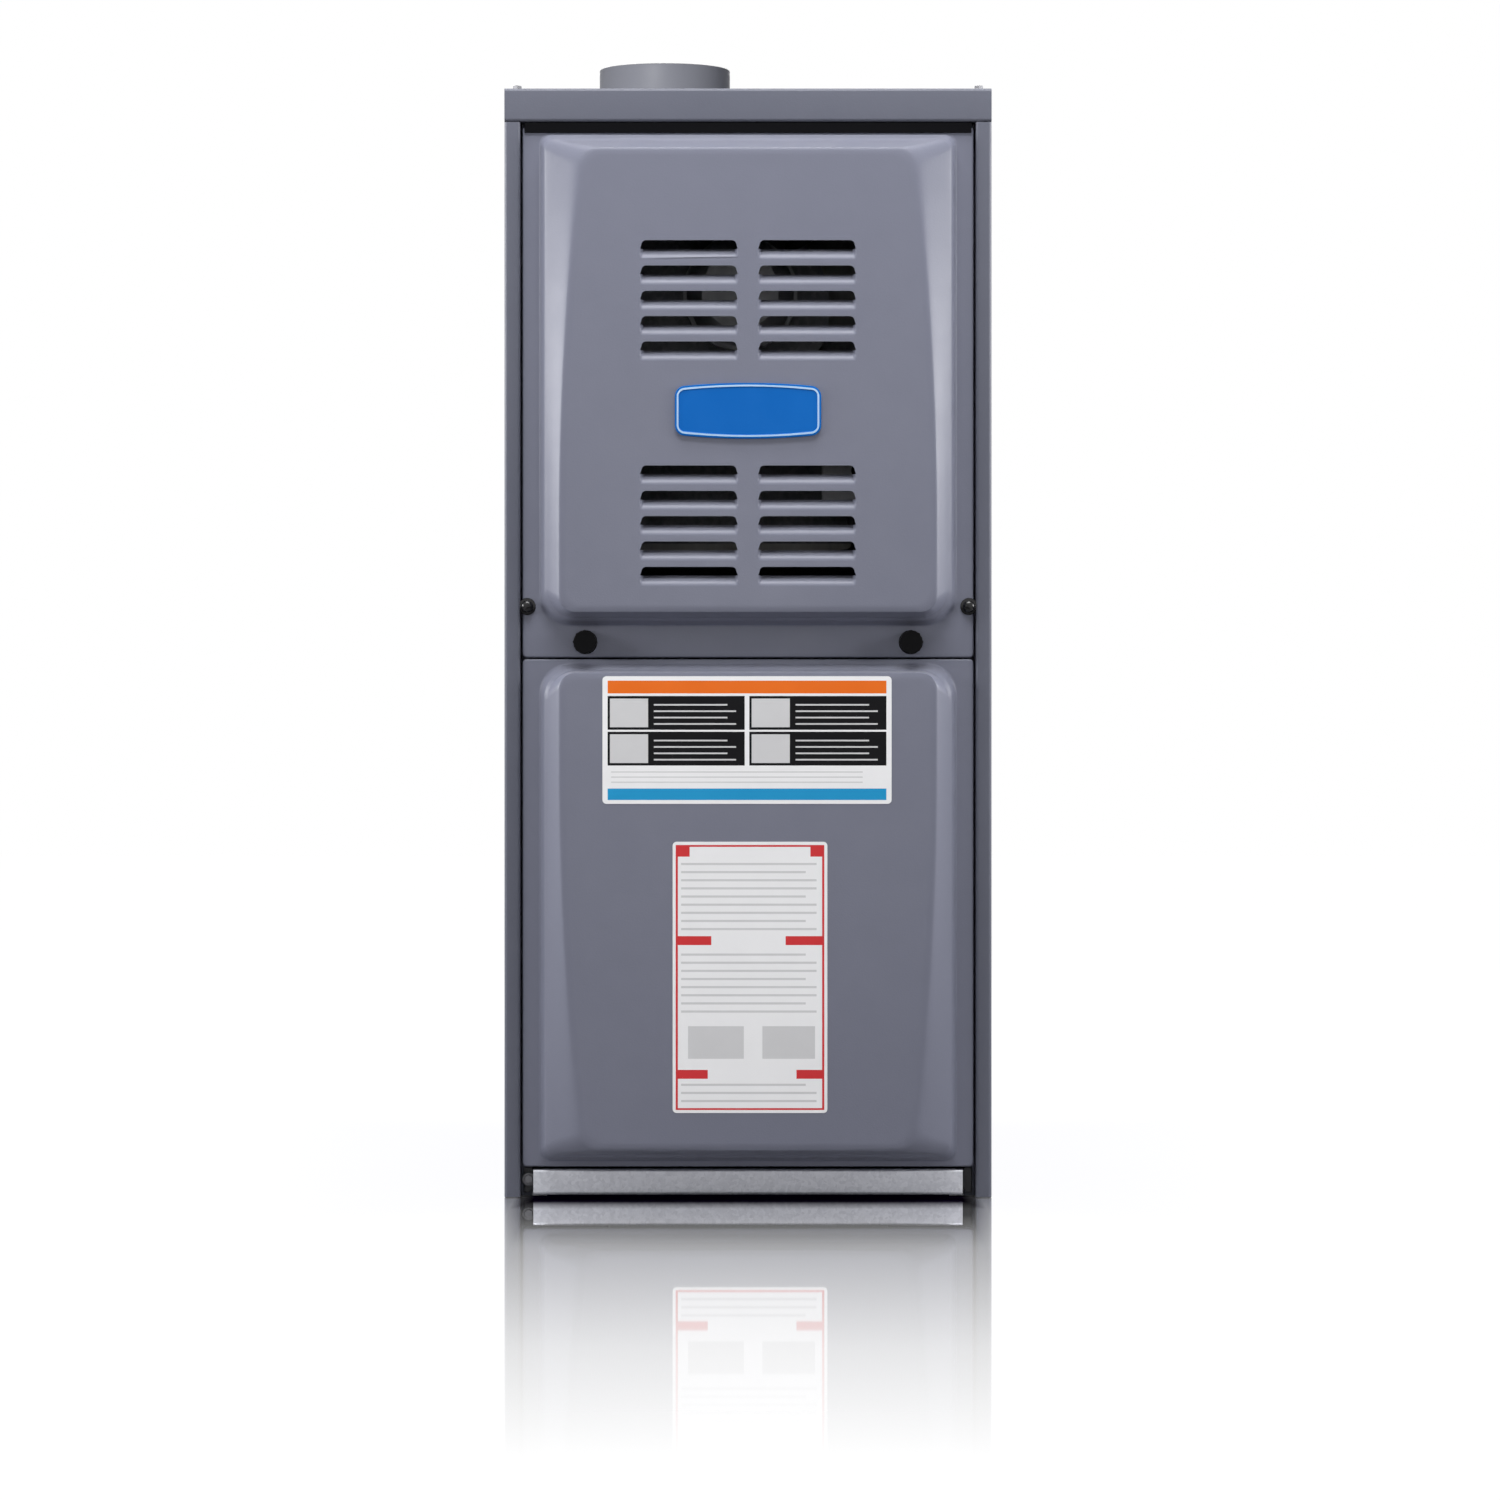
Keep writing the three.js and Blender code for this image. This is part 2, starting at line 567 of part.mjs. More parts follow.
function blowerMotor() {
  const ends = (motor.length - motor.bandLength) / 2;
  const body = turned([
    [0, motorFront],
    [motor.endRadius, motorFront],
    [motor.radius - motor.step, motorFront + ends - motor.step],
    [motor.radius, motorFront + ends],
    [motor.radius, motorFront + ends + motor.bandLength],
    [motor.radius - motor.step, motorFront + ends + motor.bandLength + motor.step],
    [motor.endRadius, motorFront + motor.length],
    [0, motorFront + motor.length],
  ], 'x', [0, ...blowerCentre], 16);
  const bore = alongX(
    disc(...blowerCentre, clearOf(shaft.radius, 12)),
    motorFront - through, motorFront + shaft.intoMotor + fit, 12,
  );
  return cut(body, bore);
}

function motorMount() {
  const face = blower.width / 2 + fit;
  const inner = motor.radius + fit;
  const band = alongX(ring(...blowerCentre, inner + mount.band, inner), face, face + mount.bandWidth, 16);
  const arm = block(
    [face, -mount.armWidth / 2, inner + mount.band / 2],
    [face + mount.armThickness, mount.armWidth / 2, mount.reach],
  );
  const arms = Array.from({ length: mount.arms }, (_, i) =>
    aboutX(arm, (2 * Math.PI * i) / mount.arms, blowerCentre));
  return join(band, ...arms);
}

const capacitorCentre = [
  -blower.width / 2 - fit - capacitor.radius - fit, blowerCentre[0] - capacitor.forward,
];
const capacitorLow = blowerSeat.level - capacitor.underAxis;

function runCapacitor() {
  const { radius, height, rim, tab, tabPitch, tabHeight } = capacitor;
  const top = capacitorLow + height;
  const can = turned([
    [0, capacitorLow], [radius - rim, capacitorLow], [radius, capacitorLow + rim],
    [radius, top - rim], [radius - rim, top], [0, top],
  ], 'z', [...capacitorCentre, 0], 16);
  const spade = (x) => block(
    [x - tab / 2, capacitorCentre[1] - 0.5, top - 1],
    [x + tab / 2, capacitorCentre[1] + 0.5, top + tabHeight],
  );
  return join(can, spade(capacitorCentre[0] - tabPitch / 2), spade(capacitorCentre[0] + tabPitch / 2));
}

function capacitorStrap() {
  const [x, y] = capacitorCentre;
  const level = capacitorLow + capacitor.height / 2;
  const arcSteps = 8;
  const r = (capacitor.radius + fit) / Math.cos(Math.PI / arcSteps / 2);
  const plate = -blower.width / 2 - fit;
  const arc = Array.from({ length: arcSteps + 1 }, (_, i) => {
    const angle = Math.PI / 2 + (Math.PI * i) / arcSteps;
    return [x + r * Math.cos(angle), y + r * Math.sin(angle)];
  });
  const spine = [
    [plate, y + r + strap.foot], [plate, y + r], ...arc, [plate, y - r], [plate, y - r - strap.foot],
  ];
  const section = outline([...spine, ...offsetPath(spine, -strap.sheet).reverse()]);
  return alongZ(section, level - strap.width / 2, level + strap.width / 2);
}

// ---------------------------------------------------------------- heat exchanger

// The centre line of one serpentine tube. Straight runs take one step each and the bends a few,
// so that the facets lie where the tube turns.
class Serpentine extends THREE.Curve {
  constructor(x, start, near, far) {
    super();
    this.stations = [];
    const bendRadius = tube.passPitch / 2;
    for (let pass = 0; pass < tube.passes; pass += 1) {
      const z = tubeLow + pass * tube.passPitch;
      const away = pass % 2 === 0;
      const from = pass === 0 ? start : (away ? near : far);
      const to = pass === tube.passes - 1 ? start : (away ? far : near);
      const heading = away ? 1 : -1;
      this.stations.push({ point: [x, from, z], tangent: [0, heading, 0] });
      this.stations.push({ point: [x, to, z], tangent: [0, heading, 0] });
      if (pass === tube.passes - 1) break;
      for (let i = 1; i < tubeRun.bendSteps; i += 1) {
        const angle = (Math.PI * i) / tubeRun.bendSteps;
        this.stations.push({
          point: [x, to + heading * bendRadius * Math.sin(angle), z + bendRadius * (1 - Math.cos(angle))],
          tangent: [0, heading * Math.cos(angle), Math.sin(angle)],
        });
      }
    }
  }

  get steps() {
    return this.stations.length - 1;
  }

  station(t) {
    return this.stations[Math.round(t * this.steps)];
  }

  getPoint(t) {
    return new THREE.Vector3(...this.station(t).point);
  }

  getPointAt(t) {
    return this.getPoint(t);
  }

  getTangentAt(t) {
    return new THREE.Vector3(...this.station(t).tangent);
  }
}

function exchangerTube(x) {
  const bendRadius = tube.passPitch / 2;
  const near = panelFace + cabinet.sheet + tubeRun.frontBend + bendRadius + tube.radius;
  const far = backFace - cabinet.sheet - tubeRun.rearBend - bendRadius - tube.radius;
  const path = new Serpentine(x, panelFace - tubeRun.proud, near, far);
  return toSolid(new THREE.ExtrudeGeometry(ring(0, 0, tube.radius, tube.radius - tube.wall), {
    steps: path.steps, curveSegments: tubeRun.sides / 2, extrudePath: path, bevelEnabled: false,
  }));
}

function tubeRackPlate() {
  const y = back - tubeRack.fromBack;
  const reach = tubeEdge + tube.radius + tubeRack.margin;
  const plate = block(
    [-reach, y, deck.level + fit], [reach, y + tubeRack.sheet, tubeTop + tube.radius + tubeRack.margin],
  );
  const holes = [];
  for (const x of tubeX) {
    for (let pass = 0; pass < tube.passes; pass += 1) {
      const z = tubeLow + pass * tube.passPitch;
      holes.push(alongY(disc(x, z, tube.radius + fit), y - through, y + 2 * through, tubeRun.sides));
    }
  }
  return cut(plate, ...holes);
}

function collectorBox() {
  const half = tubeEdge + tube.radius + collector.sideMargin;
  const low = tubeTop - collector.height / 2;
  const high = tubeTop + collector.height / 2;
  const y0 = panelFace - fit - collector.depth;
  const shell = block([-half, y0, low], [half, panelFace - fit, high]);
  const hollow = block(
    [-half + collector.sheet, y0 + collector.sheet, low + collector.sheet],
    [half - collector.sheet, panelFace, high - collector.sheet],
  );
  const inlet = alongY(
    disc(inducerX, inducerLevel, collector.inletRadius), y0 - through, y0 + 2 * through, 20,
  );
  return cut(shell, hollow, inlet);
}

// ---------------------------------------------------------------- inducer and vent

const inducerLevel = tubeTop - inducer.belowPorts;
const inducerX = vent.centreX + (inducer.outletRadius + cutoffReach(inducer)) / 2;
const inducerBack = panelFace - fit - collector.depth - fit;
const inducerFront = inducerBack - inducer.width;
const ventY = ventCentre[1];
const adapterLow = tubeTop + collector.height / 2 + adapter.overCollector;
const inducerRise = adapterLow - fit - inducerLevel;

function inInducer(points) {
  return outline(points.map(([u, v]) => [inducerX - u, inducerLevel + v]));
}

function inducerHousing() {
  const shell = alongY(
    inInducer(scroll(inducer, inducerRise, inducer.sheet)), inducerFront, inducerBack,
  );
  const hollow = alongY(
    inInducer(scroll(inducer, inducerRise + through, 0)), inducerFront - through, inducerBack - inducer.sheet,
  );
  const inlet = alongY(
    disc(inducerX, inducerLevel, inducer.inlet), inducerBack - 2 * through, inducerBack + through, 20,
  );
  return cut(shell, hollow, inlet);
}

function inducerCover() {
  const y = inducerFront - fit;
  const plate = alongY(inInducer(scroll(inducer, inducerRise, inducer.sheet)), y - inducer.sheet, y);
  const shaftHole = alongY(
    disc(inducerX, inducerLevel, clearOf(inducerWheel.shaft, 12)), y - 2 * through, y + through, 12,
  );
  const nipple = alongY(
    disc(inducerX + hose.start, inducerLevel + hose.start, hose.barb),
    y - inducer.sheet - hose.nipple, y - inducer.sheet / 2, 8,
  );
  return join(cut(plate, shaftHole), nipple);
}

function inducerWheelSolid() {
  const y0 = inducerBack - inducer.sheet - inducerWheel.gap - inducerWheel.depth;
  const at = [inducerX, inducerLevel];
  const blade = block(
    [0, 0, inducerWheel.hub / 2], [inducerWheel.sheet, inducerWheel.depth, inducerWheel.radius],
  );
  const blades = Array.from({ length: inducerWheel.blades }, (_, i) => {
    const turn = new THREE.Matrix4().makeRotationY((2 * Math.PI * i) / inducerWheel.blades);
    turn.setPosition(at[0], y0, at[1]);
    return toSolid(toGeometry(blade).applyMatrix4(turn));
  });
  const plate = alongY(disc(...at, inducerWheel.radius), y0, y0 + inducerWheel.sheet, 20);
  const hub = alongY(
    disc(...at, inducerWheel.hub), y0 - inducerWheel.hubFront, y0 + inducerWheel.hubRear, 12,
  );
  const axle = alongY(
    disc(...at, inducerWheel.shaft), inducerFront - inducerWheel.intoMotor, y0 + inducerWheel.hubRear / 2, 12,
  );
  return join(plate, hub, axle, ...blades);
}

function inducerMotorSolid() {
  const y1 = inducerFront - fit - inducer.sheet - fit;
  const y0 = y1 - inducerMotor.length;
  const middle = (y0 + y1) / 2;
  const body = turned([
    [0, y0], [inducerMotor.endRadius, y0], [inducerMotor.radius, y0 + inducerMotor.frontBevel],
    [inducerMotor.radius, middle - inducerMotor.coreLength / 2],
    [inducerMotor.coreRadius, middle - inducerMotor.coreLength / 2],
    [inducerMotor.coreRadius, middle + inducerMotor.coreLength / 2],
    [inducerMotor.radius, middle + inducerMotor.coreLength / 2],
    [inducerMotor.radius, y1 - inducerMotor.rearBevel], [inducerMotor.endRadius, y1], [0, y1],
  ], 'y', [inducerX, 0, inducerLevel], 14);
  const bore = alongY(
    disc(inducerX, inducerLevel, clearOf(inducerWheel.shaft, 12)),
    inducerFront - inducerWheel.intoMotor - fit, y1 + through, 12,
  );
  return cut(body, bore);
}

// The vent adapter changes from the scroll's square outlet to the round pipe.
function ventAdapter() {
  const low = adapterLow;
  const high = low + adapter.height;
  const centreY = (inducerBack + inducerFront) / 2;
  const reachX = (inducer.outletRadius - cutoffReach(inducer)) / 2;
  const reachY = inducer.width / 2 - inducer.sheet;
  const sides = 24;
  const squareRing = (grow, z) => Array.from({ length: sides }, (_, i) => {
    const angle = (2 * Math.PI * (i + 0.5)) / sides;
    const stretch = 1 / Math.max(Math.abs(Math.cos(angle)), Math.abs(Math.sin(angle)));
    return [
      vent.centreX + (reachX + grow) * stretch * Math.cos(angle),
      centreY + (reachY + grow) * stretch * Math.sin(angle), z,
    ];
  });
  const roundRing = (radius, z) => Array.from({ length: sides }, (_, i) => {
    const angle = (2 * Math.PI * (i + 0.5)) / sides;
    return [vent.centreX + radius * Math.cos(angle), ventY + radius * Math.sin(angle), z];
  });
  const spigot = vent.radius - vent.wall - fit;
  return lofted([
    squareRing(adapter.wall, low),
    roundRing(spigot, high),
    roundRing(spigot, high + adapter.lap),
    roundRing(spigot - adapter.wall, high + adapter.lap),
    roundRing(spigot - adapter.wall, high),
    squareRing(0, low),
  ], true);
}

function ventPipe() {
  const low = adapterLow + adapter.height + fit;
  const high = cabinet.height + vent.rise;
  return turned([
    [vent.radius - vent.wall, low],
    [vent.radius, low],
    [vent.radius, high],
    [vent.radius - vent.wall, high],
    [vent.radius - vent.wall, low],
  ], 'z', [...ventCentre, 0], 32);
}

const pressureSwitchX = innerSide - pressureSwitch.fromSide;
const pressureSwitchLevel = underTop - pressureSwitch.underTop;
const pressurePort = pressureSwitchLevel - pressureSwitch.portDrop;

function pressureSwitchSolid() {
  const y1 = panelFace - fit;
  const y0 = y1 - pressureSwitch.height;
  const { radius, cap: capDepth, boss, shoulder, crimp, crimpWidth } = pressureSwitch;
  const crimpFront = (y0 + y1 - crimpWidth) / 2;
  const crimpRear = crimpFront + crimpWidth;
  const body = turned([
    [0, y0], [boss, y0], [boss, y0 + capDepth], [shoulder, y0 + capDepth],
    [crimp, crimpFront], [radius, crimpFront], [radius, crimpRear], [crimp, crimpRear],
    [shoulder, y1], [0, y1],
  ], 'y', [pressureSwitchX, 0, pressureSwitchLevel], 16);
  const port = alongY(
    disc(pressureSwitchX, pressurePort, hose.barb), y0 - pressureSwitch.portLength, crimpFront, 8,
  );
  return join(body, port);
}

function pressureHose() {
  const startY = inducerFront - fit - inducer.sheet - fit;
  const endY = panelFace - fit - pressureSwitch.height + pressureSwitch.cap - fit;
  const endZ = pressurePort;
  const x0 = inducerX + hose.start;
  const z0 = inducerLevel + hose.start;
  const x1 = pressureSwitchX;
  const forward = startY - hose.loop;
  const route = new THREE.CatmullRomCurve3([
    new THREE.Vector3(x0, startY, z0),
    new THREE.Vector3(x0, startY - 12, z0),
    new THREE.Vector3(x0 + 12, forward + 4, z0 + 3),
    new THREE.Vector3((x0 + x1) / 2, forward, (z0 + endZ) / 2 + 4),
    new THREE.Vector3(x1 - 10, forward + 8, endZ + 2),
    new THREE.Vector3(x1, endY - 34, endZ),
    new THREE.Vector3(x1, endY - 12, endZ),
    new THREE.Vector3(x1, endY, endZ),
  ]);
  return toSolid(new THREE.ExtrudeGeometry(ring(0, 0, hose.radius, hose.bore), {
    steps: 14, curveSegments: 3, extrudePath: route, bevelEnabled: false,
  }));
}

// ---------------------------------------------------------------- burners and gas train

const burnerFloor = tubeLow - burnerBox.floorDrop;
const boxFront = panelFace - burnerBox.length;
const valveLevel = tubeLow + manifold.elbow + manifold.radius + valve.bossLength + valve.height / 2;

function burnerBoxSolid() {
  const outer = burnerBoxHalf + burnerBox.sheet;
  const profile = folded([
    [-outer, burnerFloor + burnerBox.wallHeight], [-outer, burnerFloor],
    [outer, burnerFloor], [outer, burnerFloor + burnerBox.wallHeight],
  ], burnerBox.sheet);
  const tray = alongY(profile, boxFront, panelFace - fit);
  const lipHalf = outer - burnerBox.lipInset;
  const lip = block(
    [-lipHalf, boxFront, burnerFloor - burnerBox.lipDrop],
    [lipHalf, boxFront + burnerBox.sheet, burnerFloor + burnerBox.sheet / 2],
  );
  return join(tray, lip);
}

function burnerMountPlate() {
  const y = panelFace - burnerPlate.fromPanel;
  const half = burnerBoxHalf - fit;
  const floor = burnerFloor + burnerBox.sheet + cabinet.bend / 2;
  const plate = block([-half, y, floor], [half, y + burnerPlate.sheet, floor + burnerPlate.height]);
  const seats = tubeX.map((x) =>
    alongY(disc(x, tubeLow, burner.barrelRadius + fit), y - through, y + 2 * through, 12));
  const rodHoles = [
    [igniterX, igniter.bodyRadius], [sensorX, flameSensor.bodyRadius],
  ].map(([x, radius]) => alongY(disc(x, rodLevel, radius + fit), y - through, y + 2 * through, 8));
  return cut(plate, ...seats, ...rodHoles);
}

const rodLevel = tubeLow + igniter.rise;
const igniterX = tubeX[0] + igniter.fromBurner;
const sensorX = tubeEdge - igniter.fromBurner;

// A burner draws air in at its bell, narrows to a throat and widens to its flame end.
function burnerSolid() {
  const { wall, length, bellRadius, throatRadius, barrelRadius, flameRadius } = burner;
  const outer = [
    [bellRadius, 0], [throatRadius + wall, burner.bellLength], [throatRadius, burner.throatAt],
    [barrelRadius, burner.barrelAt], [barrelRadius, length - burner.flameLength], [flameRadius, length],
  ];
  const inner = outer.map(([radius, station]) => [radius - wall, station]).reverse();
  return turned([...outer, ...inner, outer[0]], 'y', [0, 0, 0], 12);
}

function gasManifold() {
  const left = -burnerBoxHalf + fit;
  const { elbow, radius } = manifold;
  const z = tubeLow;
  const riserTop = z + elbow + radius;
  const run = alongX(disc(manifoldY, z, radius), left, riserX - elbow, 10);
  const arc = new THREE.QuadraticBezierCurve3(
    new THREE.Vector3(riserX - elbow - 1, manifoldY, z),
    new THREE.Vector3(riserX, manifoldY, z),
    new THREE.Vector3(riserX, manifoldY, z + elbow),
  );
  const bendPiece = toSolid(new THREE.ExtrudeGeometry(disc(0, 0, radius + manifold.elbowStep), {
    steps: 4, curveSegments: 5, extrudePath: arc, bevelEnabled: false,
  }));
  const riser = alongZ(disc(riserX, manifoldY, radius), z + elbow - 1, riserTop, 10);
  const spuds = tubeX.flatMap((x) => {
    const start = manifoldY + radius - orifice.sunk;
    const shoulder = start + orifice.length;
    return [
      alongY(disc(x, z, orifice.hexRadius), start, shoulder, 6),
      alongY(disc(x, z, orifice.tipRadius), shoulder - 1, shoulder + orifice.tipLength, 6),
    ];
  });
  return join(run, bendPiece, riser, ...spuds);
}

function gasValve() {
  const { width, depth, height, chamfer, bossRadius, bossLength } = valve;
  const w = width / 2;
  const h = height / 2;
  const face = outline([
    [riserX - w, valveLevel - h + chamfer], [riserX - w + chamfer, valveLevel - h],
    [riserX + w - chamfer, valveLevel - h], [riserX + w, valveLevel - h + chamfer],
    [riserX + w, valveLevel + h - chamfer], [riserX + w - chamfer, valveLevel + h],
    [riserX - w + chamfer, valveLevel + h], [riserX - w, valveLevel + h - chamfer],
  ]);
  const body = alongY(face, manifoldY - depth / 2, manifoldY + depth / 2);
  const outlet = alongZ(
    disc(riserX, manifoldY, bossRadius), valveLevel - h - bossLength + fit, valveLevel - h + 1, 6,
  );
  const inletEnd = side - cabinet.sheet - gasHole.flange - valve.inletGap;
  const inlet = alongX(disc(manifoldY, valveLevel, bossRadius), riserX + w - 1, inletEnd, 6);
  const inletBore = alongX(
    disc(manifoldY, valveLevel, manifold.radius), inletEnd - valve.inletDepth, inletEnd + through, 12,
  );
  const regulator = alongZ(
    disc(riserX - valveRegulator.left, manifoldY + valveRegulator.behind, valveRegulator.radius),
    valveLevel + h - 1, valveLevel + h + valveRegulator.height, 16,
  );
  const solenoid = block(
    [riserX + valveCoil.left, manifoldY - valveCoil.front, valveLevel + h - 1],
    [riserX + valveCoil.right, manifoldY + valveCoil.rear, valveLevel + h + valveCoil.height],
  );
  return cut(join(body, outlet, inlet, regulator, solenoid), inletBore);
}

function gasValveSwitch() {
  const y = manifoldY - valve.depth / 2 - fit;
  const base = alongY(disc(0, 0, valveSwitch.radius), -valveSwitch.baseHeight, 0, 16);
  const grip = block(
    [-valveSwitch.grip / 2, -valveSwitch.height, -valveSwitch.radius + 1],
    [valveSwitch.grip / 2, -1, valveSwitch.radius - 1],
  );
  return { solid: join(base, grip), at: [riserX, y, valveLevel] };
}

// A ceramic body with a collar that seats on the front of the burner plate.
function rodBody(x, radius, start, length) {
  const y = panelFace - burnerPlate.fromPanel;
  const body = alongY(disc(x, rodLevel, radius), start, start + length, 8);
  const collar = alongY(disc(x, rodLevel, radius + rodCollar.step), y - fit - rodCollar.depth, y - fit, 8);
  return join(body, collar);
}

function igniterSolid() {
  const start = panelFace - burnerPlate.fromPanel - igniter.inFront;
  const end = start + igniter.bodyLength;
  const half = igniter.tipWidth / 2;
  const tip = block(
    [igniterX - half, end - 1, rodLevel - 1], [igniterX + half, end + igniter.tipLength, rodLevel + 1],
  );
  return join(rodBody(igniterX, igniter.bodyRadius, start, igniter.bodyLength), tip);
}

function flameSensorSolid() {
  const start = panelFace - burnerPlate.fromPanel - flameSensor.inFront;
  const end = start + flameSensor.bodyLength;
  const rod = alongY(
    disc(sensorX, rodLevel, flameSensor.rodRadius),
    start - flameSensor.rodTail, end + flameSensor.rodReach, 6,
  );
  return join(rodBody(sensorX, flameSensor.bodyRadius, start, flameSensor.bodyLength), rod);
}

const rolloutFace = burnerBoxHalf + burnerBox.sheet + fit;
const rolloutAt = [panelFace - rollout.fromPanel, tubeLow + rollout.rise];

function rolloutSwitch() {
  const far = rolloutFace + rollout.height;
  const can = alongX(disc(...rolloutAt, rollout.radius), rolloutFace, far, 12);
  const half = [rollout.radius + rollout.earLength, rollout.earWidth / 2];
  const ears = block(
    [rolloutFace, rolloutAt[0] - half[0], rolloutAt[1] - half[1]],
    [rolloutFace + rollout.earSheet, rolloutAt[0] + half[0], rolloutAt[1] + half[1]],
  );
  const wellFloor = far - rollout.buttonSeat - rollout.travel - fit;
  const well = alongX(disc(...rolloutAt, rollout.buttonRadius + fit), wellFloor, far + through, 8);
  return cut(join(can, ears), well);
}

function rolloutButton() {
  const far = rolloutFace + rollout.height;
  return alongX(
    disc(...rolloutAt, rollout.buttonRadius), far - rollout.buttonSeat, far + rollout.buttonHeight, 8,
  );
}

function limitSwitchSolid() {
  const y = panelFace - fit;
  const x = innerSide - limitSwitch.fromSide;
  const level = tubeLow + limitSwitch.overBurners;
  const { radius, height, flange, flangeHeight, flangeSheet, tab } = limitSwitch;
  const body = alongY(disc(x, level, radius), y - height, y, 12);
  const plate = block(
    [x - flange, y - flangeSheet, level - flangeHeight / 2], [x + flange, y, level + flangeHeight / 2],
  );
  const spade = (offset) => block(
    [x + offset - tab / 2, y - height - 1.5 * tab, level - 0.5],
    [x + offset + tab / 2, y - height + 1, level + 0.5],
  );
  return join(body, plate, spade(-tab), spade(tab));
}

// ---------------------------------------------------------------- doors

// One closed outline in (x, z), as seen from the front. It has straight or curved sides, and
// arcs at the corners. Each outline has the same number of points, so that two of them can be
// joined point to point.
function doorOutline({ halfWidth, low, high, lowCorner, highCorner }) {
  const arcSteps = 3;
  const sideSteps = 6;
  const right = [];
  const corner = (z, radius, from) => {
    const x = halfWidth(z) - radius;
    for (let i = 0; i <= arcSteps; i += 1) {
      const angle = from + ((Math.PI / 2) * i) / arcSteps;
      right.push([x + radius * Math.cos(angle), z + radius * Math.sin(angle)]);
    }
  };
  corner(low + lowCorner, lowCorner, -Math.PI / 2);
  for (let i = 1; i < sideSteps; i += 1) {
    const z = THREE.MathUtils.lerp(low + lowCorner, high - highCorner, i / sideSteps);
    right.push([halfWidth(z), z]);
  }
  corner(high - highCorner, highCorner, 0);
  const left = right.map(([x, z]) => [-x, z]).reverse();
  return [...right, ...left];
}

const between = (a, b, share) => a.map(([x, z], i) => [
  THREE.MathUtils.lerp(x, b[i][0], share), THREE.MathUtils.lerp(z, b[i][1], share),
]);

// Joins a list of rings of [x, y, z] points into one closed solid. A closed loft runs back to
// its first ring, and an open one is capped at both ends.
function lofted(rings, closed = false) {
  const count = rings[0].length;
  const positions = rings.flat(2);
  const index = [];
  const last = closed ? rings.length : rings.length - 1;
  for (let r = 0; r < last; r += 1) {
    const next = (r + 1) % rings.length;
    for (let i = 0; i < count; i += 1) {
      const j = (i + 1) % count;
      const a = r * count + i;
      const b = r * count + j;
      const c = next * count + j;
      const d = next * count + i;
      index.push(a, b, c, a, c, d);
    }
  }
  if (!closed) {
    const end = (rings.length - 1) * count;
    for (let i = 1; i < count - 1; i += 1) {
      index.push(0, i + 1, i);
      index.push(end, end + i, end + i + 1);
    }
  }
  const geometry = new THREE.BufferGeometry();
  geometry.setAttribute('position', new THREE.Float32BufferAttribute(positions, 3));
  geometry.setIndex(index);
  return toSolid(geometry);
}

function doorPlaces(bottom, top, margins) {
  const domeBottom = bottom + margins.bottomMargin;
  const domeTop = top - margins.topMargin;
  return {
    bottom,
    top,
    domeBottom,
    domeTop,
    plateauBottom: domeBottom + margins.plateauBottom,
    plateauTop: domeTop - margins.plateauTop,
  };
}

// A pressed door: a flat flange with a folded edge, and a dome whose sides slope up to a plateau
// that narrows towards one end. wideBelow is true where the wide end is the lower one.
function pressedDoor(size, wideBelow) {
  const corners = (wide, narrow) => ({
    lowCorner: wideBelow ? wide : narrow,
    highCorner: wideBelow ? narrow : wide,
  });
  const pan = (inset) => doorOutline({
    halfWidth: () => doorHalf - inset,
    low: size.bottom + inset,
    high: size.top - inset,
    ...corners(door.cornerRadius, door.cornerRadius),
  });
  const foot = (inset) => doorOutline({
    halfWidth: () => domeHalf - inset,
    low: size.domeBottom + inset,
    high: size.domeTop - inset,
    ...corners(dome.wideCorner, dome.narrowCorner),
  });
  const plateauReach = (z) => {
    const fromWideEnd = wideBelow ? z - size.plateauBottom : size.plateauTop - z;
    const share = fromWideEnd / (size.plateauTop - size.plateauBottom);
    const bow = Math.max(0, share - plateau.straightShare) / (1 - plateau.straightShare);
    return plateauHalf - plateau.taper * bow * bow;
  };
  const top = (inset) => doorOutline({
    halfWidth: (z) => plateauReach(z) - inset,
    low: size.plateauBottom + inset,
    high: size.plateauTop - inset,
    ...corners(plateau.wideCorner, plateau.narrowCorner),
  });
  const at = (points, y) => points.map(([x, z]) => [x, y, z]);
  const lastFoot = domeFoot[domeFoot.length - 1].inset;
  const skin = (depth, edge) => [
    at(pan(depth), edge),
    at(pan(depth), flangeFace + crown.edgeRadius + depth / 2),
    at(pan(crown.edgeRadius + depth / 2), flangeFace + depth),
    at(foot(depth), flangeFace + depth),
    ...domeFoot.map((step) => at(foot(step.inset + depth), flangeFace - step.height + depth)),
    ...domeSlope.map((step) => at(
      between(foot(lastFoot + depth), top(depth), step.share), flangeFace - step.height + depth,
    )),
    at(top(crown.inset + depth), domeFace + depth),
  ];
  const edge = stopFace - door.seatGap;
  return cut(lofted(skin(0, edge)), lofted(skin(door.sheet, edge + through)));
}

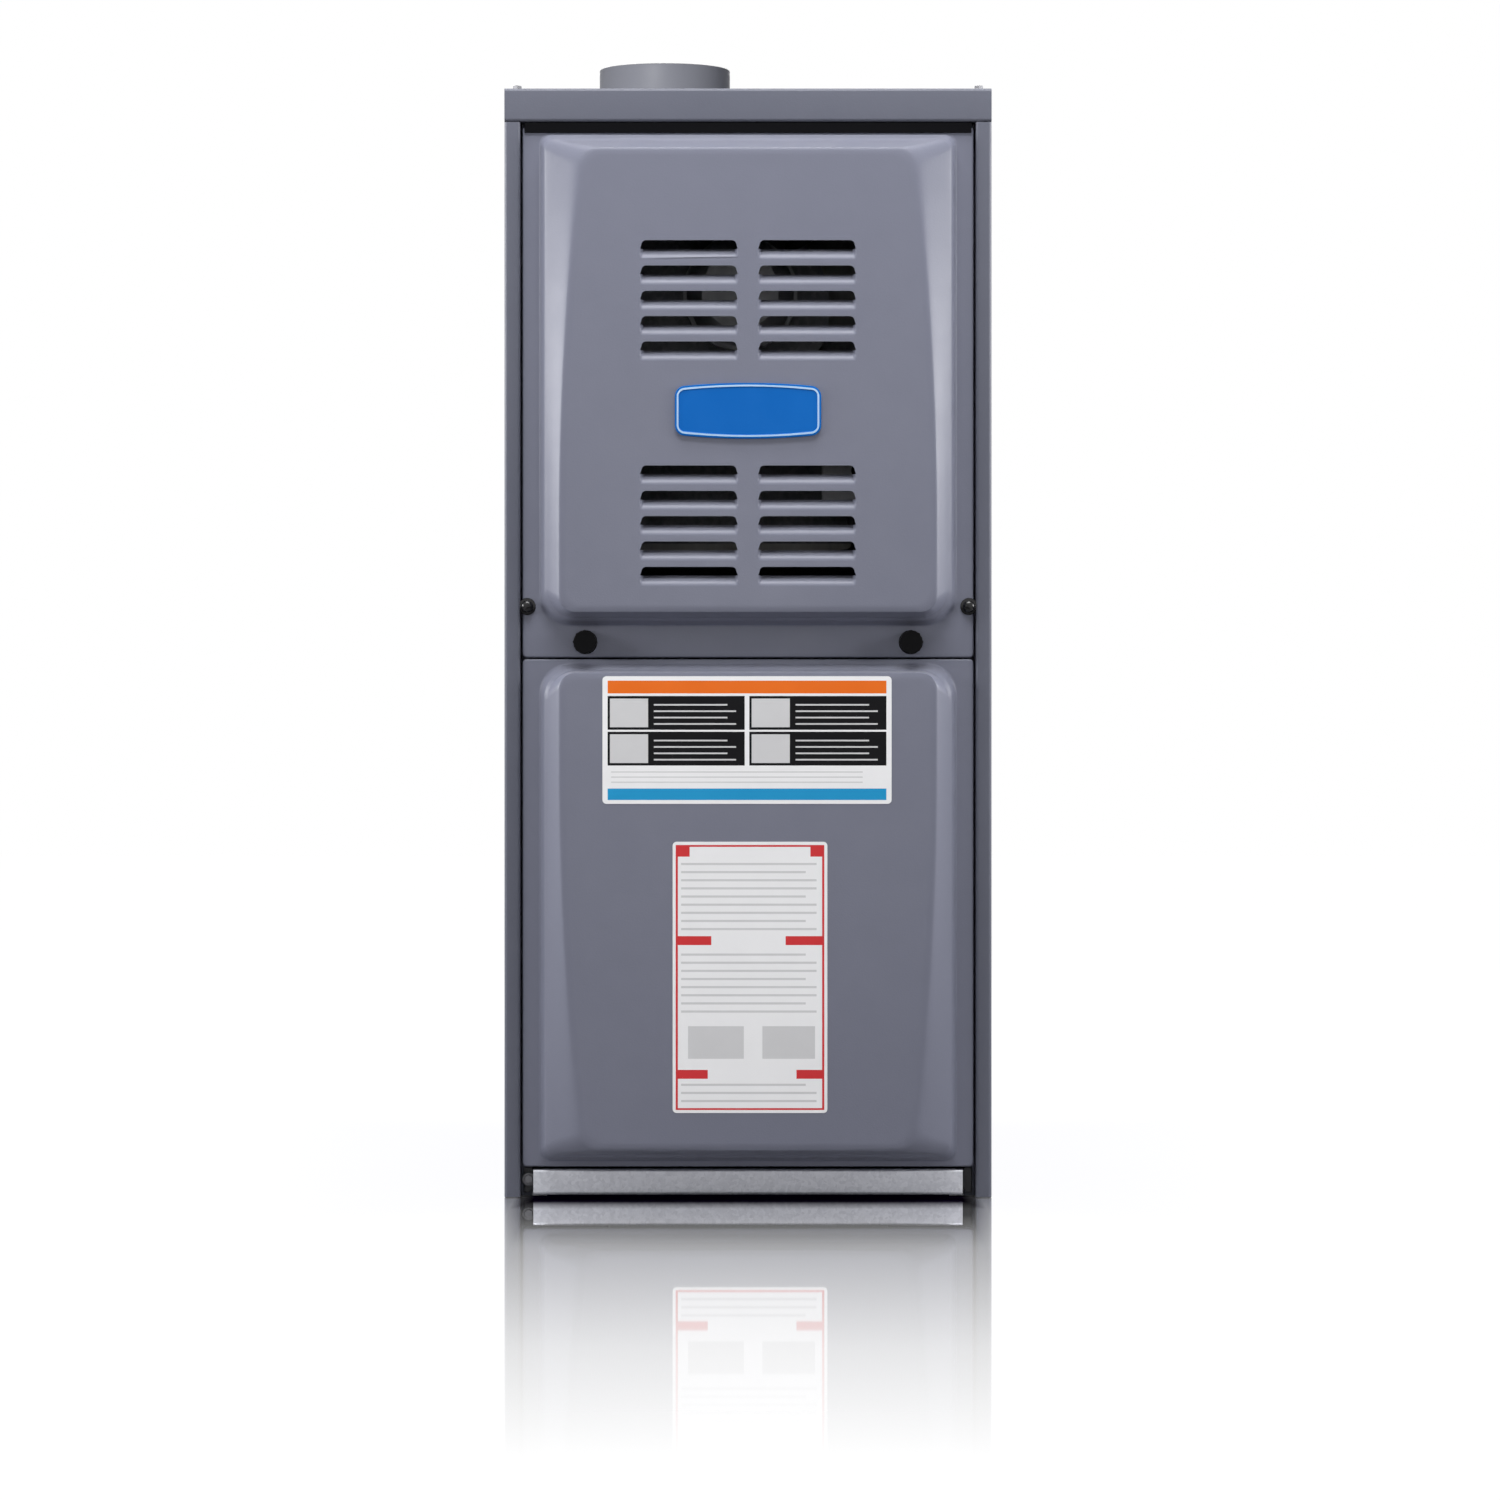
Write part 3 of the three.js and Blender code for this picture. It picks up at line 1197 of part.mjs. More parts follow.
// A louvre is lanced along its top edge and pressed inward. Its mouth is cut through the plateau,
// and below it a ramp runs inward and up to a free edge, with a wall at either end. grow is the
// sheet's thickness for the outside of that pocket, and nothing for its inside.
function louvreBody(x, top, grow) {
  const { width, height, depth, rampRise, shoulder, flare } = louvre;
  const half = width / 2 + grow;
  const low = top - height;
  const mouth = outline([
    [x - half, low - grow],
    [x + half, low - grow],
    [x + half - flare, top - shoulder],
    [x + half - flare - shoulder, top],
    [x - half + flare + shoulder, top],
    [x - half + flare, top - shoulder],
  ]);
  const start = grow > 0 ? domeFace + door.sheet / 2 : domeFace - through;
  const end = domeFace + door.sheet + depth + grow;
  const rise = grow > 0 ? low + rampRise : top + through;
  const ramp = alongX(outline([
    [start, low - grow],
    ...(grow > 0 ? [] : [[domeFace, low]]),
    [end - depth * louvreKnee.depth, low + rampRise * louvreKnee.rise - grow],
    [end, low + rampRise - grow],
    [end, rise],
    [start, rise],
  ]), x - half - 1, x + half + 1);
  return alongY(mouth, start, end).intersect(ramp);
}

const louvreKnee = { depth: 0.4, rise: 0.45 }; // shares of the ramp, from its free edge and its foot

function louvrePlaces() {
  const places = [];
  const banks = [upperDoor.top - louvre.firstDrop, upperDoor.bottom + louvre.secondRise];
  for (const first of banks) {
    for (let row = 0; row < louvre.rows; row += 1) {
      for (let col = 0; col < louvre.columns; col += 1) {
        const x = (col - (louvre.columns - 1) / 2) * louvre.columnPitch;
        places.push([x, first - row * louvre.rowPitch]);
      }
    }
  }
  return places;
}

function upperDoorSolid() {
  const pressing = pressedDoor(upperDoor, true);
  const places = louvrePlaces();
  const skins = places.map(([x, top]) => louvreBody(x, top, door.sheet));
  const voids = places.map(([x, top]) => louvreBody(x, top, 0));
  const shankHoles = [-1, 1].map((hand) => alongY(
    disc(hand * knobX, upperDoor.bottom + knob.rise, clearOf(knobShank.radius, 12)),
    flangeFace - through, flangeFace + door.sheet + through, 12,
  ));
  const notches = [-1, 1].map((hand) => alongY(
    disc(hand * edgeClipX, edgeClipLevel, edgeClip.stem + fit),
    flangeFace - through, flangeFace + door.sheet + through, 12,
  ));
  return cut(join(pressing, ...skins), ...voids, ...shankHoles, ...notches);
}

const edgeClipX = doorHalf - edgeClip.radius + edgeClip.overhang;
const edgeClipLevel = upperDoor.bottom + edgeClip.rise;

function edgeClipSolid(hand) {
  const y = flangeFace - fit;
  return turned([
    [0, y - edgeClip.height], [edgeClip.radius - edgeClip.round, y - edgeClip.height],
    [edgeClip.radius, y - edgeClip.height + edgeClip.round], [edgeClip.radius, y],
    [edgeClip.stem, y], [edgeClip.stem, y + edgeClip.stemLength], [0, y + edgeClip.stemLength],
  ], 'y', [hand * edgeClipX, 0, edgeClipLevel], 10);
}

function badgePlate() {
  const y = domeFace - fit;
  const { width, height, bow, corner, thickness } = badge;
  const level = upperDoor.top - badge.drop;
  const shape = new THREE.Shape();
  const w = width / 2;
  const h = height / 2 - bow;
  shape.moveTo(-w, level - h + corner);
  shape.quadraticCurveTo(-w, level - h, -w + corner, level - h);
  shape.quadraticCurveTo(0, level - h - 2 * bow, w - corner, level - h);
  shape.quadraticCurveTo(w, level - h, w, level - h + corner);
  shape.lineTo(w, level + h - corner);
  shape.quadraticCurveTo(w, level + h, w - corner, level + h);
  shape.quadraticCurveTo(0, level + h + 2 * bow, -w + corner, level + h);
  shape.quadraticCurveTo(-w, level + h, -w, level + h - corner);
  return alongY(shape, y - thickness, y, 12);
}

// A quarter-turn knob: a lobed grip in front of the door, and behind it a shank with a cam bar.
function doorKnob() {
  const grip = new THREE.Shape();
  const steps = knob.lobes * 3;
  for (let i = 0; i < steps; i += 1) {
    const angle = (2 * Math.PI * i) / steps;
    const radius = knob.radius - knob.grip / 2 + (knob.grip / 2) * Math.cos(knob.lobes * angle);
    const point = [radius * Math.cos(angle), radius * Math.sin(angle)];
    if (i === 0) grip.moveTo(...point);
    else grip.lineTo(...point);
  }
  const head = alongY(grip, -knob.height, -knob.skirt + 0.5);
  const skirt = alongY(disc(0, 0, knob.radius), -knob.skirt, -fit, 16);
  const behind = door.sheet + fit + knobShank.camThickness;
  const shank = alongY(disc(0, 0, knobShank.radius), -1, behind, 12);
  const cam = block(
    [-knobShank.camLength / 2, door.sheet + fit, -knobShank.camWidth / 2],
    [knobShank.camLength / 2, behind, knobShank.camWidth / 2],
  );
  return join(head, skirt, shank, cam);
}

// ---------------------------------------------------------------- controls

const switchLevel = deck.level - doorSwitch.drop - doorSwitch.height / 2;
const boardPlane = front + panel.fromFront;
const boardX = -innerSide + board.fromSide;
const plungerEnd = behindStop + plunger.seat;
const junctionCentreY = front + junctionBox.fromFront + junctionBox.depth / 2;
const junctionTop = deck.level - junctionBox.underDeck;
const junctionCentreZ = junctionTop - junctionBox.height / 2;

function controlPanel() {
  const under = deck.level - cabinet.sheet - fit;
  const profile = folded([
    [boardPlane + panel.topFlange, under], [boardPlane, under], [boardPlane, under - panel.drop],
  ], panel.sheet);
  return alongX(profile, -innerSide + panel.leftMargin, innerSide - panel.rightMargin);
}

function controlBoard() {
  const y = boardPlane - fit;
  const z = deck.level - board.drop;
  const half = [board.width / 2, board.height / 2];
  const plate = block(
    [boardX - half[0], y - board.standoff - board.sheet, z - half[1]],
    [boardX + half[0], y - board.standoff, z + half[1]],
  );
  const posts = [-1, 1].flatMap((i) => [-1, 1].map((j) => alongY(
    disc(boardX + i * (half[0] - board.postInset), z + j * (half[1] - board.postInset), board.postInset / 2),
    y - board.standoff - board.sheet / 2, y, 8,
  )));
  const faceY = y - board.standoff - board.sheet;
  const onBoard = (x, low, width, height, depth) =>
    block([x, faceY - depth, low], [x + width, faceY + board.sheet / 2, low + height]);
  const relays = Array.from({ length: relay.count }, (_, i) => {
    const x = boardX - half[0] + relay.first + i * relay.pitch;
    return onBoard(x - relay.size / 2, z + relay.rise, relay.size, relay.size, relay.height);
  });
  const parts = [plugHeader, chip, fuse].map((part) =>
    onBoard(boardX + part.x, z + part.z, part.width, part.height, part.depth));
  return join(plate, ...posts, ...relays, ...parts);
}

function terminalStrip() {
  const y = boardPlane - fit - board.standoff - board.sheet - fit;
  const low = deck.level - board.drop - board.height / 2 + terminals.rise;
  const length = terminals.count * terminals.pitch;
  const left = boardX - length / 2;
  const face = y - terminals.depth;
  const middle = low + terminals.height / 2;
  const base = block([left, face, low], [left + length, y, low + terminals.height]);
  const posts = Array.from({ length: terminals.count }, (_, i) => {
    const x = left + (i + 0.5) * terminals.pitch;
    return block(
      [x - terminals.post / 2, face - terminals.postReach, middle - terminals.postHeight / 2],
      [x + terminals.post / 2, face + 1, middle + terminals.postHeight / 2],
    );
  });
  return join(base, ...posts);
}

function transformerSolid() {
  const y = boardPlane - fit;
  const z = deck.level - transformer.drop;
  const x = innerSide - transformer.fromSide;
  const { width, height, core, coilDepth, foot, sheet } = transformer;
  const half = width / 2;
  const middle = y - coilDepth / 2;
  const laminations = block(
    [x - half + foot.inset, middle - core / 2, z - height / 2],
    [x + half - foot.inset, middle + core / 2, z + height / 2],
  );
  const coil = block(
    [x - width / 4, y - coilDepth, z - height / 4], [x + width / 4, y - 2 * sheet, z + height / 4],
  );
  const base = block(
    [x - half - foot.reach, y - sheet, z - foot.height / 2], [x + half + foot.reach, y, z + foot.height / 2],
  );
  const leg = (hand) => {
    const at = x + hand * (half - foot.inset - sheet / 2);
    return block(
      [at - sheet, middle, z - foot.height / 2], [at + sheet, y - sheet / 2, z + foot.height / 2],
    );
  };
  return join(laminations, coil, base, leg(-1), leg(1));
}

function doorSwitchBody() {
  const y = behindStop + cabinet.sheet + fit;
  const { width, height, depth, neck, neckHeight, neckReach } = doorSwitch;
  const neckFace = behindStop - neckReach;
  const centred = (across, up, from, to) => block(
    [doorSwitchX - across / 2, from, switchLevel - up / 2],
    [doorSwitchX + across / 2, to, switchLevel + up / 2],
  );
  const body = centred(width, height, y, y + depth);
  const neckPiece = centred(neck, neckHeight, neckFace, y + 1);
  const wellEnd = plungerEnd + plunger.travel + fit;
  const well = centred(plunger.width + 2 * fit, plunger.height + 2 * fit, neckFace - through, wellEnd);
  return cut(join(body, neckPiece), well);
}

// The plunger's tip lies just behind the inside of the lower door's plateau.
function doorSwitchPlunger() {
  const tip = domeFace + door.sheet + fit;
  return block(
    [doorSwitchX - plunger.width / 2, tip, switchLevel - plunger.height / 2],
    [doorSwitchX + plunger.width / 2, plungerEnd, switchLevel + plunger.height / 2],
  );
}

function junctionBoxSolid() {
  const { width, depth, height, sheet } = junctionBox;
  const low = [-innerSide, junctionCentreY - depth / 2, junctionTop - height];
  const high = [-innerSide + width, junctionCentreY + depth / 2, junctionTop];
  const shell = block(low, high);
  const hollow = block(
    [low[0] + sheet, low[1] - through, low[2] + sheet], [high[0] - sheet, high[1] - sheet, high[2] - sheet],
  );
  const knockout = alongX(
    disc(junctionCentreY, junctionCentreZ, conduitHole.radius),
    low[0] - through, low[0] + sheet + through, 16,
  );
  return cut(shell, hollow, knockout);
}

function junctionBoxCover() {
  const { width, depth, height, sheet, embossInset, embossHeight, embossDepth } = junctionBox;
  const y = junctionCentreY - depth / 2 - fit;
  const left = -innerSide + fit;
  const right = -innerSide + width;
  const plate = block([left, y - sheet, junctionTop - height], [right, y, junctionTop]);
  const emboss = block(
    [left + embossInset, y - sheet - embossDepth, junctionCentreZ - embossHeight / 2],
    [right - embossInset, y - sheet / 2, junctionCentreZ + embossHeight / 2],
  );
  return join(plate, emboss);
}

function gasPipeGrommet() {
  const outer = side;
  const inner = side - cabinet.sheet;
  const r = gasHole.radius - fit;
  return turned([
    [gasHole.bore, inner - fit - gasHole.flange],
    [r + gasHole.bush, inner - fit - gasHole.flange],
    [r + gasHole.bush, inner - fit],
    [r, inner - fit],
    [r, outer],
    [gasHole.bore, outer],
    [gasHole.bore, inner - fit - gasHole.flange],
  ], 'x', [0, manifoldY, valveLevel], 16);
}

// ---------------------------------------------------------------- assembly

const casing = section('casing');
add(casing, 'left_side_panel', sidePanel(-1), finish.paint);
add(casing, 'right_side_panel', sidePanel(1), finish.paint);
add(casing, 'back_panel', backPanel(), finish.paint);
add(casing, 'top_front_cap', frontCap(), finish.paint);
add(casing, 'top_panel', topPanel(), finish.galvanised);
add(casing, 'left_base_rail', baseRail(-1), finish.galvanised);
add(casing, 'right_base_rail', baseRail(1), finish.galvanised);
add(casing, 'bottom_panel', bottomPanel(), finish.galvanised);
add(casing, 'left_base_clip', baseCornerClip(-1), finish.motorPaint);
add(casing, 'right_base_clip', baseCornerClip(1), finish.motorPaint);
add(casing, 'blower_deck', blowerDeck(), finish.galvanised);
add(casing, 'vestibule_panel', vestibulePanel(), finish.galvanised);
add(casing, 'gas_pipe_grommet', gasPipeGrommet(), finish.rubber);

const exchanger = section('heat_exchanger');
tubeX.forEach((x, i) => add(exchanger, `heat_exchanger_tube_${i + 1}`, exchangerTube(x), finish.aluminised));
add(exchanger, 'tube_rack', tubeRackPlate(), finish.galvanised);
add(exchanger, 'collector_box', collectorBox(), finish.aluminised);

const draft = section('draft_inducer');
add(draft, 'inducer_housing', inducerHousing(), finish.galvanised);
add(draft, 'inducer_cover', inducerCover(), finish.galvanised);
add(draft, 'inducer_wheel', inducerWheelSolid(), finish.steel);
add(draft, 'inducer_motor', inducerMotorSolid(), finish.motorPaint);
add(draft, 'vent_adapter', ventAdapter(), finish.galvanised);
add(draft, 'vent_pipe', ventPipe(), finish.galvanised);
add(draft, 'pressure_switch', pressureSwitchSolid(), finish.greyPlastic);
add(draft, 'pressure_hose', pressureHose(), finish.rubber);

const gasTrain = section('gas_train');
add(gasTrain, 'burner_box', burnerBoxSolid(), finish.galvanised);
add(gasTrain, 'burner_mount_plate', burnerMountPlate(), finish.galvanised);
tubeX.forEach((x, i) => {
  const mesh = add(gasTrain, `burner_${i + 1}`, burnerSolid(), finish.aluminised);
  mesh.position.set(x, panelFace - tubeRun.proud - burner.fromTube - burner.length, tubeLow);
});
add(gasTrain, 'gas_manifold', gasManifold(), finish.steel);
add(gasTrain, 'gas_valve', gasValve(), finish.castAluminium);
const valveKnob = gasValveSwitch();
add(gasTrain, 'gas_valve_switch', valveKnob.solid, finish.blackPlastic).position.set(...valveKnob.at);
add(gasTrain, 'igniter', igniterSolid(), finish.ceramic);
add(gasTrain, 'flame_sensor', flameSensorSolid(), finish.ceramic);
add(gasTrain, 'rollout_switch', rolloutSwitch(), finish.blackPlastic);
add(gasTrain, 'rollout_reset_button', rolloutButton(), finish.redPlastic);
add(gasTrain, 'limit_switch', limitSwitchSolid(), finish.blackPlastic);

const airMover = section('blower');
add(airMover, 'blower_housing', blowerHousing(), finish.galvanised);
add(airMover, 'blower_wheel', blowerWheel(), finish.galvanised);
add(airMover, 'blower_motor', blowerMotor(), finish.motorPaint);
add(airMover, 'motor_mount', motorMount(), finish.galvanised);
add(airMover, 'run_capacitor', runCapacitor(), finish.castAluminium);
add(airMover, 'capacitor_strap', capacitorStrap(), finish.galvanised);

const controls = section('controls');
add(controls, 'control_panel', controlPanel(), finish.galvanised);
add(controls, 'control_board', controlBoard(), finish.board);
add(controls, 'terminal_strip', terminalStrip(), finish.blackPlastic);
add(controls, 'transformer', transformerSolid(), finish.steel);
add(controls, 'door_switch', doorSwitchBody(), finish.blackPlastic);
add(controls, 'door_switch_plunger', doorSwitchPlunger(), finish.greyPlastic);
add(controls, 'junction_box', junctionBoxSolid(), finish.galvanised);
add(controls, 'junction_box_cover', junctionBoxCover(), finish.galvanised);

const doors = section('doors');
add(doors, 'upper_door', upperDoorSolid(), finish.paint);
add(doors, 'lower_door', pressedDoor(lowerDoor, false), finish.paint);
add(doors, 'badge_plate', badgePlate(), finish.badgeBlue);
for (const [name, hand] of [['left', -1], ['right', 1]]) {
  add(doors, `${name}_edge_clip`, edgeClipSolid(hand), finish.blackPlastic);
  const mesh = add(doors, `${name}_door_knob`, doorKnob(), finish.blackPlastic);
  mesh.position.set(hand * knobX, flangeFace, upperDoor.bottom + knob.rise);
}

export default furnace;
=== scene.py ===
"""A forced air gas furnace in slate grey powder paint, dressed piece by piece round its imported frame.

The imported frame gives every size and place, in metres: x to the furnace's left and right, y to its
back, z up. The doors, badge, labels, vent collar and fasteners are built here with bmesh operators,
and the inner parts are the frame's own nodes, smoothed and given their finishes.
"""

import json
import logging
import math
from collections.abc import Callable, Iterable
from dataclasses import dataclass, field
from enum import Enum

import bmesh
import bpy
from mathutils import Matrix, Vector

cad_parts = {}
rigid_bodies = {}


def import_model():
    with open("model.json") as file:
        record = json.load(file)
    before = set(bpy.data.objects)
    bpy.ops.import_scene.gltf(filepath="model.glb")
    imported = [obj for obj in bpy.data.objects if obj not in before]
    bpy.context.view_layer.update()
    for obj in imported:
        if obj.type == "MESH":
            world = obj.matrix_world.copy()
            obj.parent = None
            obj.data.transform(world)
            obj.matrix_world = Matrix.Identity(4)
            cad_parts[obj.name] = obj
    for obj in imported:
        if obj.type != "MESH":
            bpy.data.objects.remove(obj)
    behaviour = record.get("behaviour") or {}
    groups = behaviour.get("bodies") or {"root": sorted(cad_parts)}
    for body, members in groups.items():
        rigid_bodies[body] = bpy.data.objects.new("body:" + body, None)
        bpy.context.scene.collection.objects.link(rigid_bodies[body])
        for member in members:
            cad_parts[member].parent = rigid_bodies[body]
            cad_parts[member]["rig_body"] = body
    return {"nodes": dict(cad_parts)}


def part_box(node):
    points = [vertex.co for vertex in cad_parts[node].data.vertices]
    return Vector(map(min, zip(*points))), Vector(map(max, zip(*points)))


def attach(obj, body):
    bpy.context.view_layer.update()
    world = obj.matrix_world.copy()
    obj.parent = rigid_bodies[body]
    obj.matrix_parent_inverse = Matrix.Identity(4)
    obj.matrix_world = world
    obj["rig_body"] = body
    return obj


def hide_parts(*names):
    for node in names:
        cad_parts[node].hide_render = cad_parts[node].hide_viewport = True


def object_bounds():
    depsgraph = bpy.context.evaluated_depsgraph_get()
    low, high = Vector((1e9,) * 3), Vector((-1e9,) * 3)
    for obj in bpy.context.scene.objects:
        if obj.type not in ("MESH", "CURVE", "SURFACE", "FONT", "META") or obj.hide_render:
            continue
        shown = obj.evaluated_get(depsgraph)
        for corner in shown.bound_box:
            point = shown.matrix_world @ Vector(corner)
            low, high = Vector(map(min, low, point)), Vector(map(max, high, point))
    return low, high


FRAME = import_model()
CAD_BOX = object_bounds()

LOG = logging.getLogger("furnace")

Tone = tuple[float, float, float]
Spot = tuple[float, float]
Place = tuple[float, float, float]
Edges = list[bmesh.types.BMEdge]

MM = 0.001
FULL_TURN = 2 * math.pi
MERGE = 0.02 * MM
SMOOTH_BELOW = math.radians(38)
SMOOTH_FOLDS_BELOW = math.radians(50)
FLAT_WITHIN = math.radians(0.4)


# ---------------------------------------------------------------- finishes


class Surface(Enum):
    """The surface patterns, each a shader node group built once."""

    GRAIN = "Surface Grain"
    SPANGLE = "Zinc Spangle"
    DRAWN = "Drawn Lines"


class Link:
    """Adds nodes to a tree and joins their sockets."""

    def __init__(self, tree: bpy.types.NodeTree) -> None:
        """Keeps the tree that the nodes go into.

        Args:
            tree: A material's or a group's node tree.
        """
        self.tree = tree

    def node(self, kind: str, settings: dict | None = None, **sockets: object) -> bpy.types.Node:
        """Adds one node and fills its inputs.

        Args:
            kind: Blender's name for the node.
            settings: The node's own properties.
            sockets: A value or an output socket for each input, by name with _ for a space.

        Returns:
            The new node.
        """
        made = self.tree.nodes.new(kind)
        for name, value in (settings or {}).items():
            setattr(made, name, value)
        for name, value in sockets.items():
            self.feed(made.inputs[name.replace("_", " ")], value)
        return made

    def feed(self, socket: bpy.types.NodeSocket, value: object) -> None:
        """Sets a socket to a value, or links an output into it.

        Args:
            socket: The input to fill.
            value: A plain value or an output socket.
        """
        if isinstance(value, bpy.types.NodeSocket):
            self.tree.links.new(value, socket)
        else:
            socket.default_value = value

    def noise(self, vector: object, scale: object, detail: float = 3.0, rough: float = 0.5) -> object:
        """Adds a noise texture.

        Args:
            vector: The coordinates.
            scale: Features per metre.
            detail: How many finer layers it has.
            rough: How strong the finer layers are.

        Returns:
            The factor output.
        """
        made = self.node("ShaderNodeTexNoise", Vector=vector, Scale=scale, Detail=detail, Roughness=rough)
        return made.outputs["Fac"]

    def ramp(
        self, value: object, low: object, high: object, to_low: object = 0.0, to_high: object = 1.0
    ) -> object:
        """Maps a value from one range to another, held at the ends.

        Args:
            value: The input value.
            low: Where the input range starts.
            high: Where it ends.
            to_low: The result at its start.
            to_high: The result at its end.

        Returns:
            The mapped value's output.
        """
        made = self.node(
            "ShaderNodeMapRange", Value=value, From_Min=low, From_Max=high, To_Min=to_low, To_Max=to_high
        )
        return made.outputs["Result"]

    def math(self, operation: str, first: object, second: object = 0.0) -> object:
        """Adds a math node.

        Args:
            operation: Blender's name for the operation.
            first: The first operand.
            second: The second operand.

        Returns:
            The result's output.
        """
        made = self.node("ShaderNodeMath", {"operation": operation})
        self.feed(made.inputs[0], first)
        self.feed(made.inputs[1], second)
        return made.outputs["Value"]

    def blend(self, share: object, first: object, second: object) -> object:
        """Mixes two colours.

        Args:
            share: How much of the second shows.
            first: The first colour.
            second: The second colour.

        Returns:
            The mixed colour's output.
        """
        made = self.node("ShaderNodeMix", {"data_type": "RGBA"})
        self.feed(made.inputs[0], share)
        self.feed(made.inputs[6], first)
        self.feed(made.inputs[7], second)
        return made.outputs[2]

    def tint(self, share: object, first: Tone, second: Tone) -> object:
        """Mixes two plain tones."""
        return self.blend(share, (*first, 1.0), (*second, 1.0))

    def mix(self, share: object, first: object, second: object) -> object:
        """Mixes two shaders.

        Args:
            share: How much of the second shows.
            first: The first shader's output.
            second: The second shader's output.

        Returns:
            The mixed shader's output.
        """
        made = self.node("ShaderNodeMixShader")
        for socket, value in zip(made.inputs, (share, first, second)):
            self.feed(socket, value)
        return made.outputs["Shader"]


def blank_tree(owner: bpy.types.Material | bpy.types.World) -> Link:
    """Empties the node tree of a material or a world.

    Args:
        owner: The material or the world.

    Returns:
        A link helper for the tree.
    """
    owner.use_nodes = True
    owner.node_tree.nodes.clear()
    return Link(owner.node_tree)


def new_group(name: str, inputs: dict[str, str], outputs: dict[str, str]) -> tuple[Link, object, object]:
    """Starts a shader node group.

    Args:
        name: The group's name.
        inputs: Socket types by input name.
        outputs: Socket types by output name.

    Returns:
        A link helper for the group's tree, its input node and its output node.
    """
    tree = bpy.data.node_groups.new(name, "ShaderNodeTree")
    for label, kind in inputs.items():
        tree.interface.new_socket(name=label, in_out="INPUT", socket_type=kind)
    for label, kind in outputs.items():
        tree.interface.new_socket(name=label, in_out="OUTPUT", socket_type=kind)
    link = Link(tree)
    return link, link.node("NodeGroupInput"), link.node("NodeGroupOutput")


PATTERN_INPUTS = {
    "Vector": "NodeSocketVector",
    "Tone": "NodeSocketColor",
    "Deep Tone": "NodeSocketColor",
    "Cells": "NodeSocketFloat",
    "Low Roughness": "NodeSocketFloat",
    "High Roughness": "NodeSocketFloat",
}
PATTERN_OUTPUTS = {"Color": "NodeSocketColor", "Roughness": "NodeSocketFloat", "Height": "NodeSocketFloat"}


def fill_pattern(
    link: Link, given: bpy.types.Node, result: bpy.types.Node,
    tone_share: object, rough_share: object, height: object, rough_range: Spot = (0.0, 1.0),
) -> bpy.types.NodeTree:
    """Feeds a pattern group's three outputs.

    Args:
        link: The link helper of the group's tree.
        given: The group's input node.
        result: The group's output node.
        tone_share: How much of the deep tone shows.
        rough_share: Where the roughness lies in the range from low to high.
        height: The relief.
        rough_range: The values of rough_share that give the low and the high roughness.

    Returns:
        The node group.
    """
    tone = link.blend(tone_share, given.outputs["Tone"], given.outputs["Deep Tone"])
    link.feed(result.inputs["Color"], tone)
    ends = (given.outputs["Low Roughness"], given.outputs["High Roughness"])
    link.feed(result.inputs["Roughness"], link.ramp(rough_share, *rough_range, *ends))
    link.feed(result.inputs["Height"], height)
    return link.tree


def grain_group() -> bpy.types.NodeTree:
    """Builds the pattern of sprayed and moulded surfaces: slow drifts of tone over a fine peel.

    Returns:
        The node group.
    """
    link, given, result = new_group(Surface.GRAIN.value, PATTERN_INPUTS, PATTERN_OUTPUTS)
    vector = given.outputs["Vector"]
    drift = link.noise(vector, scale=5.0, detail=2.0)
    clouds = link.noise(vector, scale=38.0, detail=4.0, rough=0.6)
    peel = link.noise(vector, given.outputs["Cells"], detail=2.0, rough=0.35)
    specks = link.noise(vector, scale=2600.0, detail=1.0)
    drifted = link.ramp(drift, 0.3, 0.7, 0.0, 0.6)
    tone_share = link.math("ADD", drifted, link.ramp(clouds, 0.3, 0.75, 0.0, 0.4))
    patch = link.math("MULTIPLY", link.ramp(clouds, 0.25, 0.75), 0.7)
    rough_share = link.math("ADD", patch, link.math("MULTIPLY", specks, 0.3))
    height = link.math("ADD", peel, link.math("MULTIPLY", specks, 0.12))
    return fill_pattern(link, given, result, tone_share, rough_share, height)


def spangle_group() -> bpy.types.NodeTree:
    """Builds the pattern of hot dipped zinc: flat crystals, each of its own tone and gloss.

    Returns:
        The node group.
    """
    link, given, result = new_group(Surface.SPANGLE.value, PATTERN_INPUTS, PATTERN_OUTPUTS)
    vector = given.outputs["Vector"]
    wander = link.node("ShaderNodeVectorMath", {"operation": "MULTIPLY_ADD"})
    noise = link.node("ShaderNodeTexNoise", Vector=vector, Scale=160.0, Detail=3.0)
    link.feed(wander.inputs[0], noise.outputs["Color"])
    link.feed(wander.inputs[1], (0.004, 0.004, 0.004))
    link.feed(wander.inputs[2], vector)
    cells = {"Vector": wander.outputs[0], "Scale": given.outputs["Cells"]}
    crystal = link.node("ShaderNodeTexVoronoi", {"feature": "F1"}, **cells)
    seam = link.node("ShaderNodeTexVoronoi", {"feature": "DISTANCE_TO_EDGE"}, **cells)
    split = link.node("ShaderNodeSeparateColor", Color=crystal.outputs["Color"])
    fern = link.noise(wander.outputs[0], scale=900.0, detail=3.0, rough=0.7)
    crystal_tone = link.math("MULTIPLY", split.outputs[0], 0.7)
    tone_share = link.math("ADD", crystal_tone, link.ramp(fern, 0.3, 0.7, 0.0, 0.3))
    crystal_gloss = link.math("MULTIPLY", split.outputs[1], 0.75)
    rough_share = link.math("ADD", crystal_gloss, link.math("MULTIPLY", fern, 0.25))
    rim = link.ramp(seam.outputs["Distance"], 0.0, 0.08)
    height = link.math("ADD", rim, link.math("MULTIPLY", split.outputs[2], 0.6))
    return fill_pattern(link, given, result, tone_share, rough_share, height)


